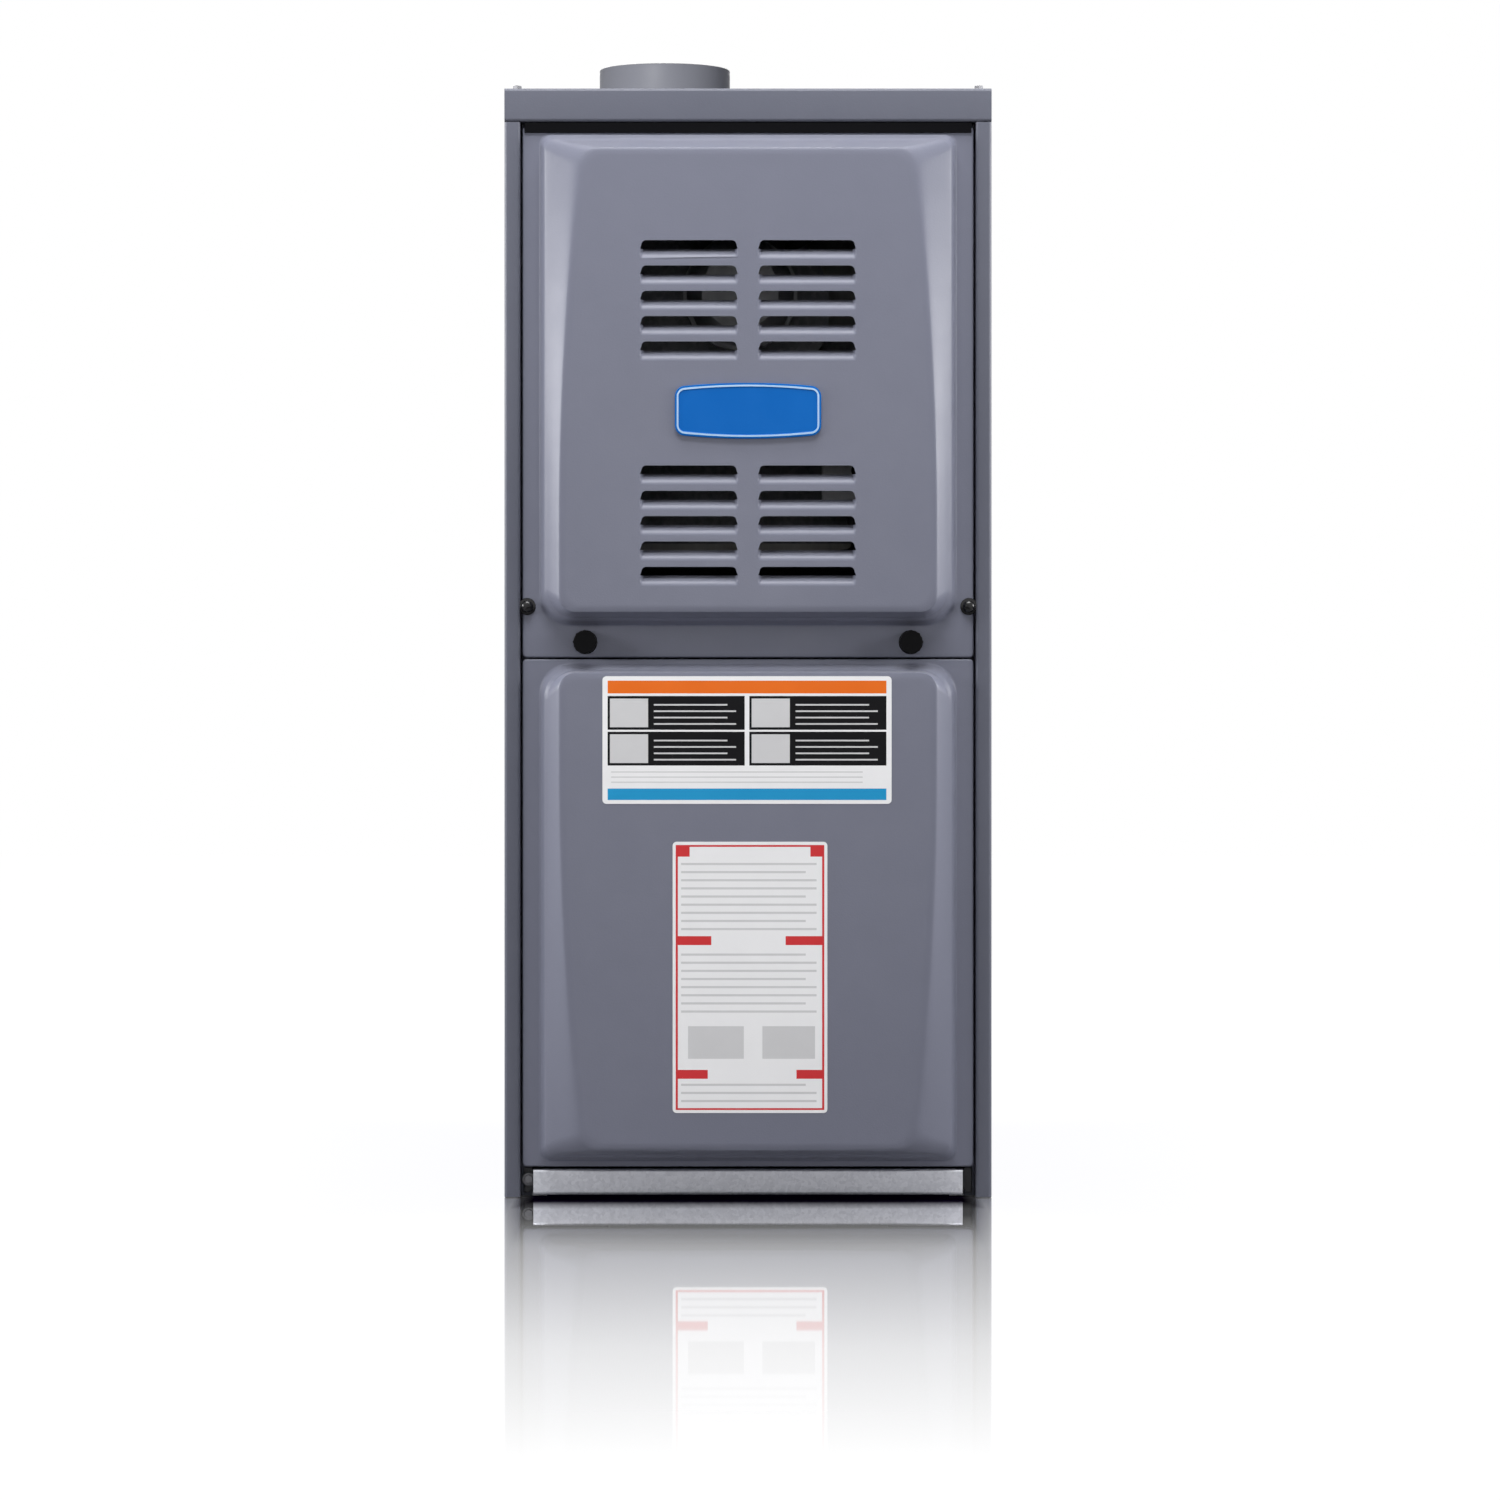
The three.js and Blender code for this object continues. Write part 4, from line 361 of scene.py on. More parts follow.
def drawn_group() -> bpy.types.NodeTree:
    """Builds the pattern of rolled and drawn metal: fine lines with a few stains across them.

    Returns:
        The node group.
    """
    link, given, result = new_group(Surface.DRAWN.value, PATTERN_INPUTS, PATTERN_OUTPUTS)
    vector = given.outputs["Vector"]
    lines = link.noise(vector, given.outputs["Cells"], detail=5.0, rough=0.65)
    stains = link.noise(vector, scale=24.0, detail=4.0, rough=0.6)
    stained = link.ramp(stains, 0.35, 0.7, 0.0, 0.5)
    tone_share = link.math("ADD", link.math("MULTIPLY", lines, 0.45), stained)
    rough_share = link.math("ADD", link.math("MULTIPLY", lines, 0.6), link.math("MULTIPLY", stains, 0.4))
    return fill_pattern(link, given, result, tone_share, rough_share, lines, (0.2, 0.8))


def dust_group() -> bpy.types.NodeTree:
    """Builds the thin dust that lies on what faces up.

    Returns:
        The node group.
    """
    link, given, result = new_group(
        "Settled Dust",
        {"Vector": "NodeSocketVector", "Color": "NodeSocketColor", "Roughness": "NodeSocketFloat",
         "Dust": "NodeSocketColor", "Amount": "NodeSocketFloat", "Facing": "NodeSocketVector"},
        {"Color": "NodeSocketColor", "Roughness": "NodeSocketFloat"},
    )
    facing = link.node("ShaderNodeSeparateXYZ", Vector=given.outputs["Facing"])
    upward = link.ramp(facing.outputs["Z"], 0.55, 1.0)
    clumps = link.noise(given.outputs["Vector"], scale=55.0, detail=5.0, rough=0.65)
    patch = link.ramp(clumps, 0.35, 0.7, 0.25, 1.0)
    share = link.math("MULTIPLY", link.math("MULTIPLY", upward, patch), given.outputs["Amount"])
    link.feed(result.inputs["Color"], link.blend(share, given.outputs["Color"], given.outputs["Dust"]))
    dulled = link.math("ADD", given.outputs["Roughness"], link.math("MULTIPLY", share, 0.4))
    link.feed(result.inputs["Roughness"], dulled)
    return link.tree


BUILDERS: dict[str, Callable[[], bpy.types.NodeTree]] = {
    Surface.GRAIN.value: grain_group,
    Surface.SPANGLE.value: spangle_group,
    Surface.DRAWN.value: drawn_group,
    "Settled Dust": dust_group,
}
DUST_TONE = (0.42, 0.41, 0.39, 1.0)


def group_node(link: Link, name: str, **sockets: object) -> bpy.types.Node:
    """Places a shared group in a material, building it the first time.

    Args:
        link: The material's link helper.
        name: The group's name.
        sockets: A value or an output socket for each input.

    Returns:
        The group's node.
    """
    tree = bpy.data.node_groups.get(name) or BUILDERS[name]()
    made = link.node("ShaderNodeGroup", {"node_tree": tree})
    for label, value in sockets.items():
        link.feed(made.inputs[label.replace("_", " ")], value)
    return made


@dataclass(frozen=True)
class Finish:
    """One surface finish and how its material is built.

    Attributes:
        name: The material's name.
        slot: The record's material slot.
        surface: The pattern that it shows.
        tone: Its main colour, linear.
        deep: The colour that the pattern mixes in.
        cells: Pattern features per metre.
        roughness: The least and the greatest roughness.
        relief: The height of the pattern's relief, in metres.
        metallic: 1 for bare metal.
        coat: The weight of a clear coat.
        coat_roughness: The clear coat's roughness.
        stretch: How far the pattern is drawn out along each axis.
        dust: How much settled dust shows on top.
        specular: The strength of the plain reflection.
    """

    name: str
    slot: str
    surface: Surface
    tone: Tone
    deep: Tone
    cells: float
    roughness: tuple[float, float]
    relief: float
    metallic: float = 0.0
    coat: float = 0.0
    coat_roughness: float = 0.22
    stretch: Place = (1.0, 1.0, 1.0)
    dust: float = 0.12
    specular: float = 0.5

    def material(self) -> bpy.types.Material:
        """Gives the finish's material, building it the first time.

        Returns:
            The material.
        """
        known = bpy.data.materials.get(self.name)
        if known is not None:
            return known
        made = bpy.data.materials.new(self.name)
        link = blank_tree(made)
        spot = link.node("ShaderNodeTexCoord")
        drawn = link.node("ShaderNodeMapping", Vector=spot.outputs["Object"], Scale=self.stretch)
        low, high = self.roughness
        pattern = group_node(
            link, self.surface.value, Vector=drawn.outputs["Vector"], Tone=(*self.tone, 1.0),
            Deep_Tone=(*self.deep, 1.0), Cells=self.cells, Low_Roughness=low, High_Roughness=high,
        )
        dusty = group_node(
            link, "Settled Dust", Vector=spot.outputs["Object"], Color=pattern.outputs["Color"],
            Roughness=pattern.outputs["Roughness"], Dust=DUST_TONE, Amount=self.dust,
            Facing=spot.outputs["Normal"],
        )
        height = pattern.outputs["Height"]
        bump = link.node("ShaderNodeBump", Strength=0.6, Distance=self.relief, Height=height)
        shader = link.node(
            "ShaderNodeBsdfPrincipled", Base_Color=dusty.outputs["Color"], Metallic=self.metallic,
            Roughness=dusty.outputs["Roughness"], Coat_Weight=self.coat,
            Coat_Roughness=self.coat_roughness, Normal=bump.outputs["Normal"],
            Specular_IOR_Level=self.specular,
        )
        link.node("ShaderNodeOutputMaterial", Surface=shader.outputs["BSDF"])
        return made


PAINT = Finish(
    "slate_powder_paint", "cabinet_paint", Surface.GRAIN, (0.158, 0.165, 0.213), (0.145, 0.152, 0.198),
    780.0, (0.36, 0.46), 0.00012, coat=0.05, dust=0.1, specular=0.24,
)
# A darker copy of the slate paint on the cabinet's sheets: painted shade, as the columns and cap catch less
# light than the doors.
SLATE_PAINT_SHADED_COPY = Finish(
    "slate_paint_darkened_as_shade", "cabinet_paint", Surface.GRAIN, (0.126, 0.132, 0.166), (0.110, 0.116, 0.148),
    780.0, (0.38, 0.48), 0.00012, coat=0.05, dust=0.1, specular=0.22,
)
COLLAR_PAINT = Finish(
    "slate_collar_paint", "cabinet_paint", Surface.GRAIN, (0.185, 0.19, 0.215), (0.165, 0.17, 0.195),
    700.0, (0.42, 0.5), 0.00008, dust=0.1, specular=0.12,
)
ZINC = Finish(
    "spangled_zinc", "galvanised_steel", Surface.SPANGLE, (0.72, 0.73, 0.78), (0.55, 0.56, 0.61),
    430.0, (0.34, 0.5), 0.00003, metallic=0.5, dust=0.1,
)
# A much darker copy of the zinc for the inner sheets behind the louvres: painted shade for the dark inside of
# the cabinet.
ZINC_SHADED_COPY = Finish(
    "zinc_darkened_as_shade", "galvanised_steel", Surface.SPANGLE, (0.27, 0.275, 0.29), (0.19, 0.195, 0.21),
    300.0, (0.4, 0.58), 0.00003, metallic=0.6, dust=0.1,
)
ALUMINISED = Finish(
    "aluminised_sheet", "aluminised_steel", Surface.DRAWN, (0.40, 0.395, 0.38), (0.27, 0.265, 0.25),
    260.0, (0.38, 0.56), 0.00004, metallic=0.8, stretch=(1.0, 1.0, 0.2), dust=0.1,
)
BRIGHT = Finish(
    "bright_rolled_steel", "bright_steel", Surface.DRAWN, (0.62, 0.62, 0.62), (0.44, 0.44, 0.45),
    420.0, (0.22, 0.38), 0.00003, metallic=1.0, stretch=(0.25, 1.0, 1.0), dust=0.08,
)
SCREW_STEEL = Finish(
    "plated_screw_steel", "bright_steel", Surface.DRAWN, (0.24, 0.24, 0.255), (0.15, 0.15, 0.16),
    600.0, (0.38, 0.52), 0.00003, metallic=0.8, dust=0.05,
)
CAST = Finish(
    "sand_cast_aluminium", "cast_aluminium", Surface.GRAIN, (0.56, 0.565, 0.575), (0.42, 0.425, 0.435),
    900.0, (0.42, 0.6), 0.0003, metallic=0.85, dust=0.12,
)
ENAMEL = Finish(
    "black_motor_enamel", "motor_enamel", Surface.GRAIN, (0.035, 0.036, 0.039), (0.022, 0.023, 0.025),
    620.0, (0.3, 0.42), 0.00015, coat=0.3, dust=0.14,
)
DARK_BRACKET = Finish(
    "dark_corner_enamel", "motor_enamel", Surface.GRAIN, (0.055, 0.057, 0.062), (0.035, 0.036, 0.04),
    640.0, (0.4, 0.55), 0.0001, dust=0.1,
)
BLACK_PLASTIC = Finish(
    "black_moulded_nylon", "black_plastic", Surface.GRAIN, (0.0035, 0.0035, 0.004), (0.002, 0.002, 0.0025),
    1500.0, (0.42, 0.55), 0.00008, dust=0.02, specular=0.07,
)
GLOSS_BLACK = Finish(
    "glossy_black_nylon", "black_plastic", Surface.GRAIN, (0.004, 0.004, 0.005), (0.002, 0.002, 0.003),
    1400.0, (0.16, 0.26), 0.00005, dust=0.02, specular=0.45,
)
GREY_PLASTIC = Finish(
    "grey_moulded_plastic", "grey_plastic", Surface.GRAIN, (0.42, 0.43, 0.45), (0.36, 0.37, 0.39),
    1300.0, (0.4, 0.52), 0.00006, dust=0.1,
)
RED_PLASTIC = Finish(
    "red_moulded_plastic", "red_plastic", Surface.GRAIN, (0.42, 0.022, 0.014), (0.33, 0.015, 0.01),
    1300.0, (0.25, 0.36), 0.00005, coat=0.2, dust=0.06,
)
RUBBER = Finish(
    "black_rubber", "black_rubber", Surface.GRAIN, (0.014, 0.014, 0.014), (0.022, 0.022, 0.021),
    1100.0, (0.6, 0.78), 0.0001, dust=0.12, specular=0.3,
)
# Near-black finish of the strip under the cap: painted shade for the shadow there.
SHADE_STRIP_BLACK = Finish(
    "painted_shade_black", "black_rubber", Surface.GRAIN, (0.003, 0.003, 0.004), (0.005, 0.005, 0.006),
    1100.0, (0.75, 0.9), 0.0001, dust=0.0, specular=0.05,
)
CERAMIC = Finish(
    "white_steatite", "white_ceramic", Surface.GRAIN, (0.66, 0.64, 0.59), (0.56, 0.54, 0.49),
    1400.0, (0.48, 0.62), 0.00008, dust=0.08,
)
BOARD = Finish(
    "green_circuit_board", "circuit_board", Surface.GRAIN, (0.012, 0.075, 0.032), (0.008, 0.055, 0.022),
    900.0, (0.3, 0.42), 0.00005, coat=0.2, dust=0.08,
)
BADGE_BLUE = Finish(
    "badge_blue_enamel", "blue_badge", Surface.GRAIN, (0.002, 0.118, 0.44), (0.001, 0.098, 0.39),
    1200.0, (0.3, 0.38), 0.00002, dust=0.0, specular=0.08,
)
BADGE_RIM = Finish(
    "badge_pale_line", "blue_badge", Surface.DRAWN, (0.40, 0.56, 0.74), (0.32, 0.48, 0.68),
    600.0, (0.35, 0.45), 0.00002, dust=0.0, specular=0.3,
)


def vinyl(shade: str, tone: Tone, deep: Tone, specular: float = 0.2, dust: float = 0.02) -> Finish:
    """Describes a label's printed vinyl in one colour.

    Args:
        shade: The colour's name.
        tone: Its main colour, linear.
        deep: The colour that the pattern mixes in.
        specular: The strength of the plain reflection.
        dust: How much settled dust shows on top.

    Returns:
        The finish.
    """
    return Finish(
        "vinyl_" + shade, "white_ceramic", Surface.GRAIN, tone, deep,
        1000.0, (0.42, 0.5), 0.00003, dust=dust, specular=specular,
    )


VINYL_WHITE = vinyl("white", (0.83, 0.83, 0.84), (0.78, 0.78, 0.79), 0.3)
VINYL_GREY = vinyl("pale_grey", (0.60, 0.60, 0.61), (0.55, 0.55, 0.56), 0.3)
VINYL_ORANGE = vinyl("orange", (0.78, 0.155, 0.01), (0.72, 0.13, 0.008))
VINYL_BLACK = vinyl("black", (0.006, 0.006, 0.007), (0.004, 0.004, 0.005), 0.08, 0.01)
VINYL_BLUE = vinyl("blue", (0.012, 0.29, 0.56), (0.01, 0.26, 0.52))
VINYL_RED = vinyl("red", (0.60, 0.035, 0.04), (0.54, 0.028, 0.032))


# ---------------------------------------------------------------- mesh work


def rounded(
    half: Callable[[float], float], low: float, high: float, corners: Spot,
    arcs: int = 8, sides: int = 14, across: int = 2,
) -> list[Spot]:
    """Draws a closed outline that is even about x = 0, with arcs at its corners.

    Args:
        half: The half width at a height.
        low: The lowest height.
        high: The greatest height.
        corners: The lower and the upper corner's radius.
        arcs: The steps in a corner.
        sides: The steps in an upright side.
        across: The steps along the bottom and the top.

    Returns:
        The outline's points, as (x, z).
    """
    low_corner, high_corner = corners
    right: list[Spot] = []

    def corner(height: float, radius: float, start: float) -> None:
        """Adds the arc of one corner to the right side."""
        middle = half(height) - radius
        for step in range(arcs + 1):
            angle = start + math.pi / 2 * step / arcs
            right.append((middle + radius * math.cos(angle), height + radius * math.sin(angle)))

    corner(low + low_corner, low_corner, -math.pi / 2)
    for step in range(1, sides):
        height = low + low_corner + (high - high_corner - low - low_corner) * step / sides
        right.append((half(height), height))
    corner(high - high_corner, high_corner, 0.0)
    left = [(-x, z) for x, z in reversed(right)]
    top = [(right[-1][0] * (1 - 2 * step / across), high) for step in range(1, across)]
    bottom = [(left[-1][0] * (1 - 2 * step / across), low) for step in range(1, across)]
    return right + top + left + bottom


def between(first: Iterable[Spot], second: Iterable[Spot], share: float) -> list[Spot]:
    """Draws the outline that lies a share of the way from one outline to another."""
    return [
        (a[0] + (b[0] - a[0]) * share, a[1] + (b[1] - a[1]) * share) for a, b in zip(first, second)
    ]


def add_ring(work: bmesh.types.BMesh, spots: list[Spot], depth: float) -> Edges:
    """Adds a closed ring of edges in an upright plane.

    Args:
        work: The mesh in work.
        spots: The ring's (x, z) points.
        depth: Its place along y.

    Returns:
        The ring's edges.
    """
    made = bmesh.ops.create_circle(work, segments=len(spots), radius=1.0)["verts"]
    for vert, (x, z) in zip(made, spots):
        vert.co = (x, depth, z)
    return list(dict.fromkeys(edge for vert in made for edge in vert.link_edges))


def add_skin(work: bmesh.types.BMesh, rings: list[tuple[list[Spot], float]]) -> None:
    """Wraps a grid into one skin that runs through a list of rings.

    Args:
        work: The mesh in work.
        rings: Each ring's points and its place along y, with as many points in each.
    """
    count = len(rings[0][0])
    last = len(rings) - 1
    made = bmesh.ops.create_grid(work, x_segments=count, y_segments=last, size=1.0)["verts"]
    for vert in made:
        spots, depth = rings[round((vert.co.y + 1) / 2 * last)]
        x, z = spots[round((vert.co.x + 1) / 2 * count) % count]
        vert.co = (x, depth, z)
    bmesh.ops.remove_doubles(work, verts=made, dist=MERGE)


def rim_at(work: bmesh.types.BMesh, depth: float) -> Edges:
    """Finds the open edges that lie at one place along y.

    Args:
        work: The mesh in work.
        depth: The place along y.

    Returns:
        The edges.
    """
    return [
        edge for edge in work.edges
        if edge.is_boundary and all(abs(end.co.y - depth) < MERGE for end in edge.verts)
    ]


def add_lathe(
    work: bmesh.types.BMesh, profile: list[Spot], centre: Place, axis: Place, steps: int
) -> None:
    """Spins a profile round an axis.

    Args:
        work: The mesh in work.
        profile: The profile's points, as (radius, place along the axis).
        centre: A point on the axis.
        axis: The axis, along x, y or z.
        steps: The steps in a full turn.
    """
    along = Vector(axis)
    outward = Vector((0, 0, 1)) if abs(along.z) < 0.5 else Vector((1, 0, 0))
    spots = [Vector(centre) + outward * radius + along * reach for radius, reach in profile]
    verts = [work.verts.new(spot) for spot in spots]
    edges = [work.edges.new(pair) for pair in zip(verts, verts[1:])]
    bmesh.ops.spin(
        work, geom=verts + edges, cent=centre, axis=axis, dvec=(0, 0, 0), angle=FULL_TURN,
        steps=steps, use_merge=True, use_normal_flip=False, use_duplicate=False,
    )


def tidy(work: bmesh.types.BMesh) -> None:
    """Merges doubled points and turns every face outwards."""
    bmesh.ops.remove_doubles(work, verts=work.verts, dist=MERGE)
    bmesh.ops.recalc_face_normals(work, faces=work.faces)


def ease_edges(
    work: bmesh.types.BMesh, edges: Iterable[bmesh.types.BMEdge], width: float, segments: int,
    clamp: bool = False,
) -> None:
    """Rounds edges.

    Args:
        work: The mesh in work.
        edges: The edges.
        width: The width of the round.
        segments: Its steps.
        clamp: True where rounds that would meet are held apart.
    """
    bmesh.ops.bevel(
        work, geom=list(edges), offset=width, offset_type="OFFSET", segments=segments, profile=0.5,
        affect="EDGES", material=-1, clamp_overlap=clamp,
    )


def add_object(name: str, data: bpy.types.ID) -> bpy.types.Object:
    """Makes an object round its data and puts it into the scene.

    Args:
        name: The object's name.
        data: Its mesh, lamp or camera.

    Returns:
        The object.
    """
    made = bpy.data.objects.new(name, data)
    bpy.context.scene.collection.objects.link(made)
    return made


def settle(piece: bpy.types.Object) -> None:
    """Applies a piece's modifiers to its mesh.

    Args:
        piece: The piece.
    """
    depsgraph = bpy.context.evaluated_depsgraph_get()
    mesh = bpy.data.meshes.new_from_object(piece.evaluated_get(depsgraph), depsgraph=depsgraph)
    piece.modifiers.clear()
    piece.data = mesh


def make_piece(
    work: bmesh.types.BMesh, name: str, body: str, finishes: Iterable[Finish],
    replaced: Iterable[str] = (), sheet: float = 0.0, smooth_below: float = SMOOTH_BELOW,
) -> bpy.types.Object:
    """Turns a finished bmesh into a piece that rides on a body.

    Args:
        work: The mesh in work, which is freed.
        name: The piece's name.
        body: The body that it rides on.
        finishes: Its finishes, in the order of its material indices.
        replaced: The frame nodes that it stands for.
        sheet: The thickness given to an open skin, inwards.
        smooth_below: The angle under which an edge is shaded smooth.

    Returns:
        The piece.
    """
    mesh = bpy.data.meshes.new(name)
    work.to_mesh(mesh)
    work.free()
    piece = add_object(name, mesh)
    finishes = list(finishes)
    for finish in finishes:
        mesh.materials.append(finish.material())
    if sheet:
        wall = piece.modifiers.new("wall", "SOLIDIFY")
        wall.thickness = sheet
        wall.offset = -1.0
        wall.use_even_offset = False
        settle(piece)
    piece.data.shade_smooth()
    piece.data.set_sharp_from_angle(angle=smooth_below)
    weigh = piece.modifiers.new("weighted_normals", "WEIGHTED_NORMAL")
    weigh.keep_sharp = True
    weigh.weight = 90
    settle(piece)
    piece.data.name = name
    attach(piece, body)
    if replaced:
        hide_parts(*replaced)
    LOG.info("%s: %d faces on %s", name, len(piece.data.polygons), body)
    return piece


def body_of(node: str) -> str:
    """Gives the body that a frame node rides on."""
    return FRAME["nodes"][node]["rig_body"]


def dress_flat(node: str, finish: Finish) -> None:
    """Gives a frame node its finish and leaves its mesh as it is.

    Args:
        node: The node's name.
        finish: Its finish.
    """
    piece = FRAME["nodes"][node]
    piece.data.materials.clear()
    piece.data.materials.append(finish.material())
    LOG.info("%s: frame mesh in %s", node, finish.name)


def dress_round(node: str, finish: Finish, ease: float = 0.0, smooth_below: float = SMOOTH_BELOW) -> None:
    """Replaces a frame node by a smooth copy of it.

    Args:
        node: The node's name.
        finish: Its finish.
        ease: The width of the round on its sharp edges.
        smooth_below: The angle under which an edge is shaded smooth.
    """
    work = bmesh.new()
    work.from_mesh(FRAME["nodes"][node].data)
    for face in work.faces:
        face.material_index = 0
    bmesh.ops.remove_doubles(work, verts=work.verts, dist=MERGE)
    bmesh.ops.dissolve_limit(
        work, angle_limit=FLAT_WITHIN, verts=work.verts, edges=work.edges, use_dissolve_boundaries=False
    )
    bmesh.ops.recalc_face_normals(work, faces=work.faces)
    if ease:
        sharp = [edge for edge in work.edges if edge.calc_face_angle(0.0) > smooth_below]
        ease_edges(work, sharp, ease, 2, clamp=True)
    make_piece(work, node + "_dressed", body_of(node), [finish], [node], smooth_below=smooth_below)


class LightGroup(Enum):
    """The groups of pieces that some lamps light alone or leave out."""

    NO_COLLAR = "all_but_collar"
    COLLAR = "collar_alone"
    FRONT = "front_alone"


def light_apart(piece: bpy.types.Object, group: LightGroup, link_state: str = "INCLUDE") -> None:
    """Puts a piece into a group that some lamps light alone, or leave out.

    Args:
        piece: The piece.
        group: The group.
        link_state: INCLUDE where the lamps light it, EXCLUDE where they leave it out.
    """
    pieces = bpy.data.collections[group.value]
    pieces.objects.link(piece)
    pieces.collection_objects[len(pieces.objects) - 1].light_linking.link_state = link_state


# ---------------------------------------------------------------- doors


@dataclass
class PressedDoor:
    """A pressed sheet door: a flange with a folded edge, and a dome that slopes up to a plateau.

    Attributes:
        node: The frame node that it stands for.
        wide_below: True where the plateau's wide end is the lower one.
        bottom_margin: From the door's bottom edge to the dome.
        top_margin: From the door's top edge to the dome.
        plateau_low: From the dome's bottom edge to the plateau.
        plateau_high: From the dome's top edge to the plateau.
    """

    node: str
    wide_below: bool
    bottom_margin: float
    top_margin: float
    plateau_low: float
    plateau_high: float
    sheet: float = 1.0 * MM
    fold: float = 1.2 * MM
    pan_corner: float = 3.0 * MM
    dome_side: float = 12.7 * MM
    dome_height: float = 25.0 * MM
    dome_corners: Spot = (23.0 * MM, 9.0 * MM)
    plateau_side: float = 15.8 * MM
    plateau_corners: Spot = (12.0 * MM, 16.0 * MM)
    taper: float = 17.0 * MM
    straight_share: float = 0.18
    flat_edge: float = 0.8 * MM
    crown: float = 4.2 * MM
    crown_drop: float = 0.25 * MM
    face_edge: float = 1.5 * MM
    fold_steps: int = 4
    foot: tuple[Spot, ...] = (
        (0.15 * MM, 0.15 * MM), (0.8 * MM, 0.8 * MM), (1.6 * MM, 2.6 * MM), (3.4 * MM, 7.5 * MM),
        (4.3 * MM, 9.1 * MM), (5.6 * MM, 10.4 * MM),
    )
    slope: tuple[Spot, ...] = (
        (0.16, 12.6 * MM), (0.45, 16.9 * MM), (0.7, 20.6 * MM), (0.83, 22.5 * MM), (0.93, 23.7 * MM),
        (1.0, 24.35 * MM),
    )

    def __post_init__(self) -> None:
        """Takes the door's outer size from the frame."""
        low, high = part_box(self.node)
        self.half = high.x
        self.bottom = low.z
        self.top = high.z
        self.face = low.y
        self.flange = low.y + self.dome_height
        self.back = high.y

    def corners(self, pair: Spot) -> Spot:
        """Orders a wide and a narrow corner as the lower and the upper one."""
        return pair if self.wide_below else (pair[1], pair[0])

    def pan(self, inset: float) -> list[Spot]:
        """Draws the door's outer edge, inset by a distance."""
        radius = self.pan_corner
        return rounded(
            lambda _: self.half - inset, self.bottom + inset, self.top - inset, (radius, radius)
        )

    def dome(self, inset: float) -> list[Spot]:
        """Draws the dome's edge, inset by a distance."""
        half = self.half - self.dome_side
        return rounded(
            lambda _: half - inset, self.bottom + self.bottom_margin + inset,
            self.top - self.top_margin - inset, self.corners(self.dome_corners),
        )

    def plateau_reach(self, height: float) -> float:
        """Gives the plateau's half width at a height.

        Args:
            height: The height in the frame.

        Returns:
            The half width.
        """
        low = self.bottom + self.bottom_margin + self.plateau_low
        high = self.top - self.top_margin - self.plateau_high
        from_wide = height - low if self.wide_below else high - height
        share = from_wide / (high - low)
        bow = max(0.0, share - self.straight_share) / (1 - self.straight_share)
        return self.half - self.dome_side - self.plateau_side - self.taper * bow * bow

    def plateau(self, inset: float) -> list[Spot]:
        """Draws the plateau's edge, inset by a distance."""
        return rounded(
            lambda height: self.plateau_reach(height) - inset,
            self.bottom + self.bottom_margin + self.plateau_low + inset,
            self.top - self.top_margin - self.plateau_high - inset, self.corners(self.plateau_corners),
        )

    def rings(self) -> list[tuple[list[Spot], float]]:
        """Lists the skin's rings from the folded edge in to the plateau.

        Returns:
            Each ring's points and its place along y.
        """
        fold = self.fold
        rings = [(self.pan(0.0), self.back)]
        for step in range(self.fold_steps + 1):
            angle = math.pi / 2 * step / self.fold_steps
            inset = fold * (1 - math.cos(angle))
            rings.append((self.pan(inset), self.flange + fold * (1 - math.sin(angle))))
        rings.append((self.pan(fold + self.flat_edge), self.flange))
        rings.append((self.dome(-self.flat_edge), self.flange))
        rings += [(self.dome(inset), self.flange - height) for inset, height in self.foot]
        last = self.foot[-1][0]
        rings += [
            (between(self.dome(last), self.plateau(0.0), share), self.flange - height)
            for share, height in self.slope
        ]
        rings.append((self.plateau(self.crown * 0.4), self.face + self.crown_drop))
        rings.append((self.plateau(self.crown), self.face))
        rings.append((self.plateau(self.crown + self.face_edge), self.face))
        return rings

    def build(self, louvres: "Louvres | None" = None) -> None:
        """Builds the door.

        Args:
            louvres: What is pressed into its plateau, if anything.
        """
        work = bmesh.new()
        add_skin(work, self.rings())
        edge = rim_at(work, self.face)
        if louvres:
            mouths = louvres.mouths(work, self.face)
            bmesh.ops.triangle_fill(work, use_beauty=True, use_dissolve=False, edges=edge + mouths)
            louvres.ramps(work, self.face)
        else:
            bmesh.ops.contextual_create(work, geom=edge)
        bmesh.ops.remove_doubles(work, verts=work.verts, dist=MERGE)
        bmesh.ops.recalc_face_normals(work, faces=work.faces)
        if sum(face.normal.y * face.calc_area() for face in work.faces) > 0:
            bmesh.ops.reverse_faces(work, faces=work.faces)
        door = make_piece(
            work, self.node + "_skin", body_of(self.node), [PAINT], [self.node], self.sheet,
            smooth_below=SMOOTH_FOLDS_BELOW,
        )
        light_apart(door, LightGroup.FRONT)


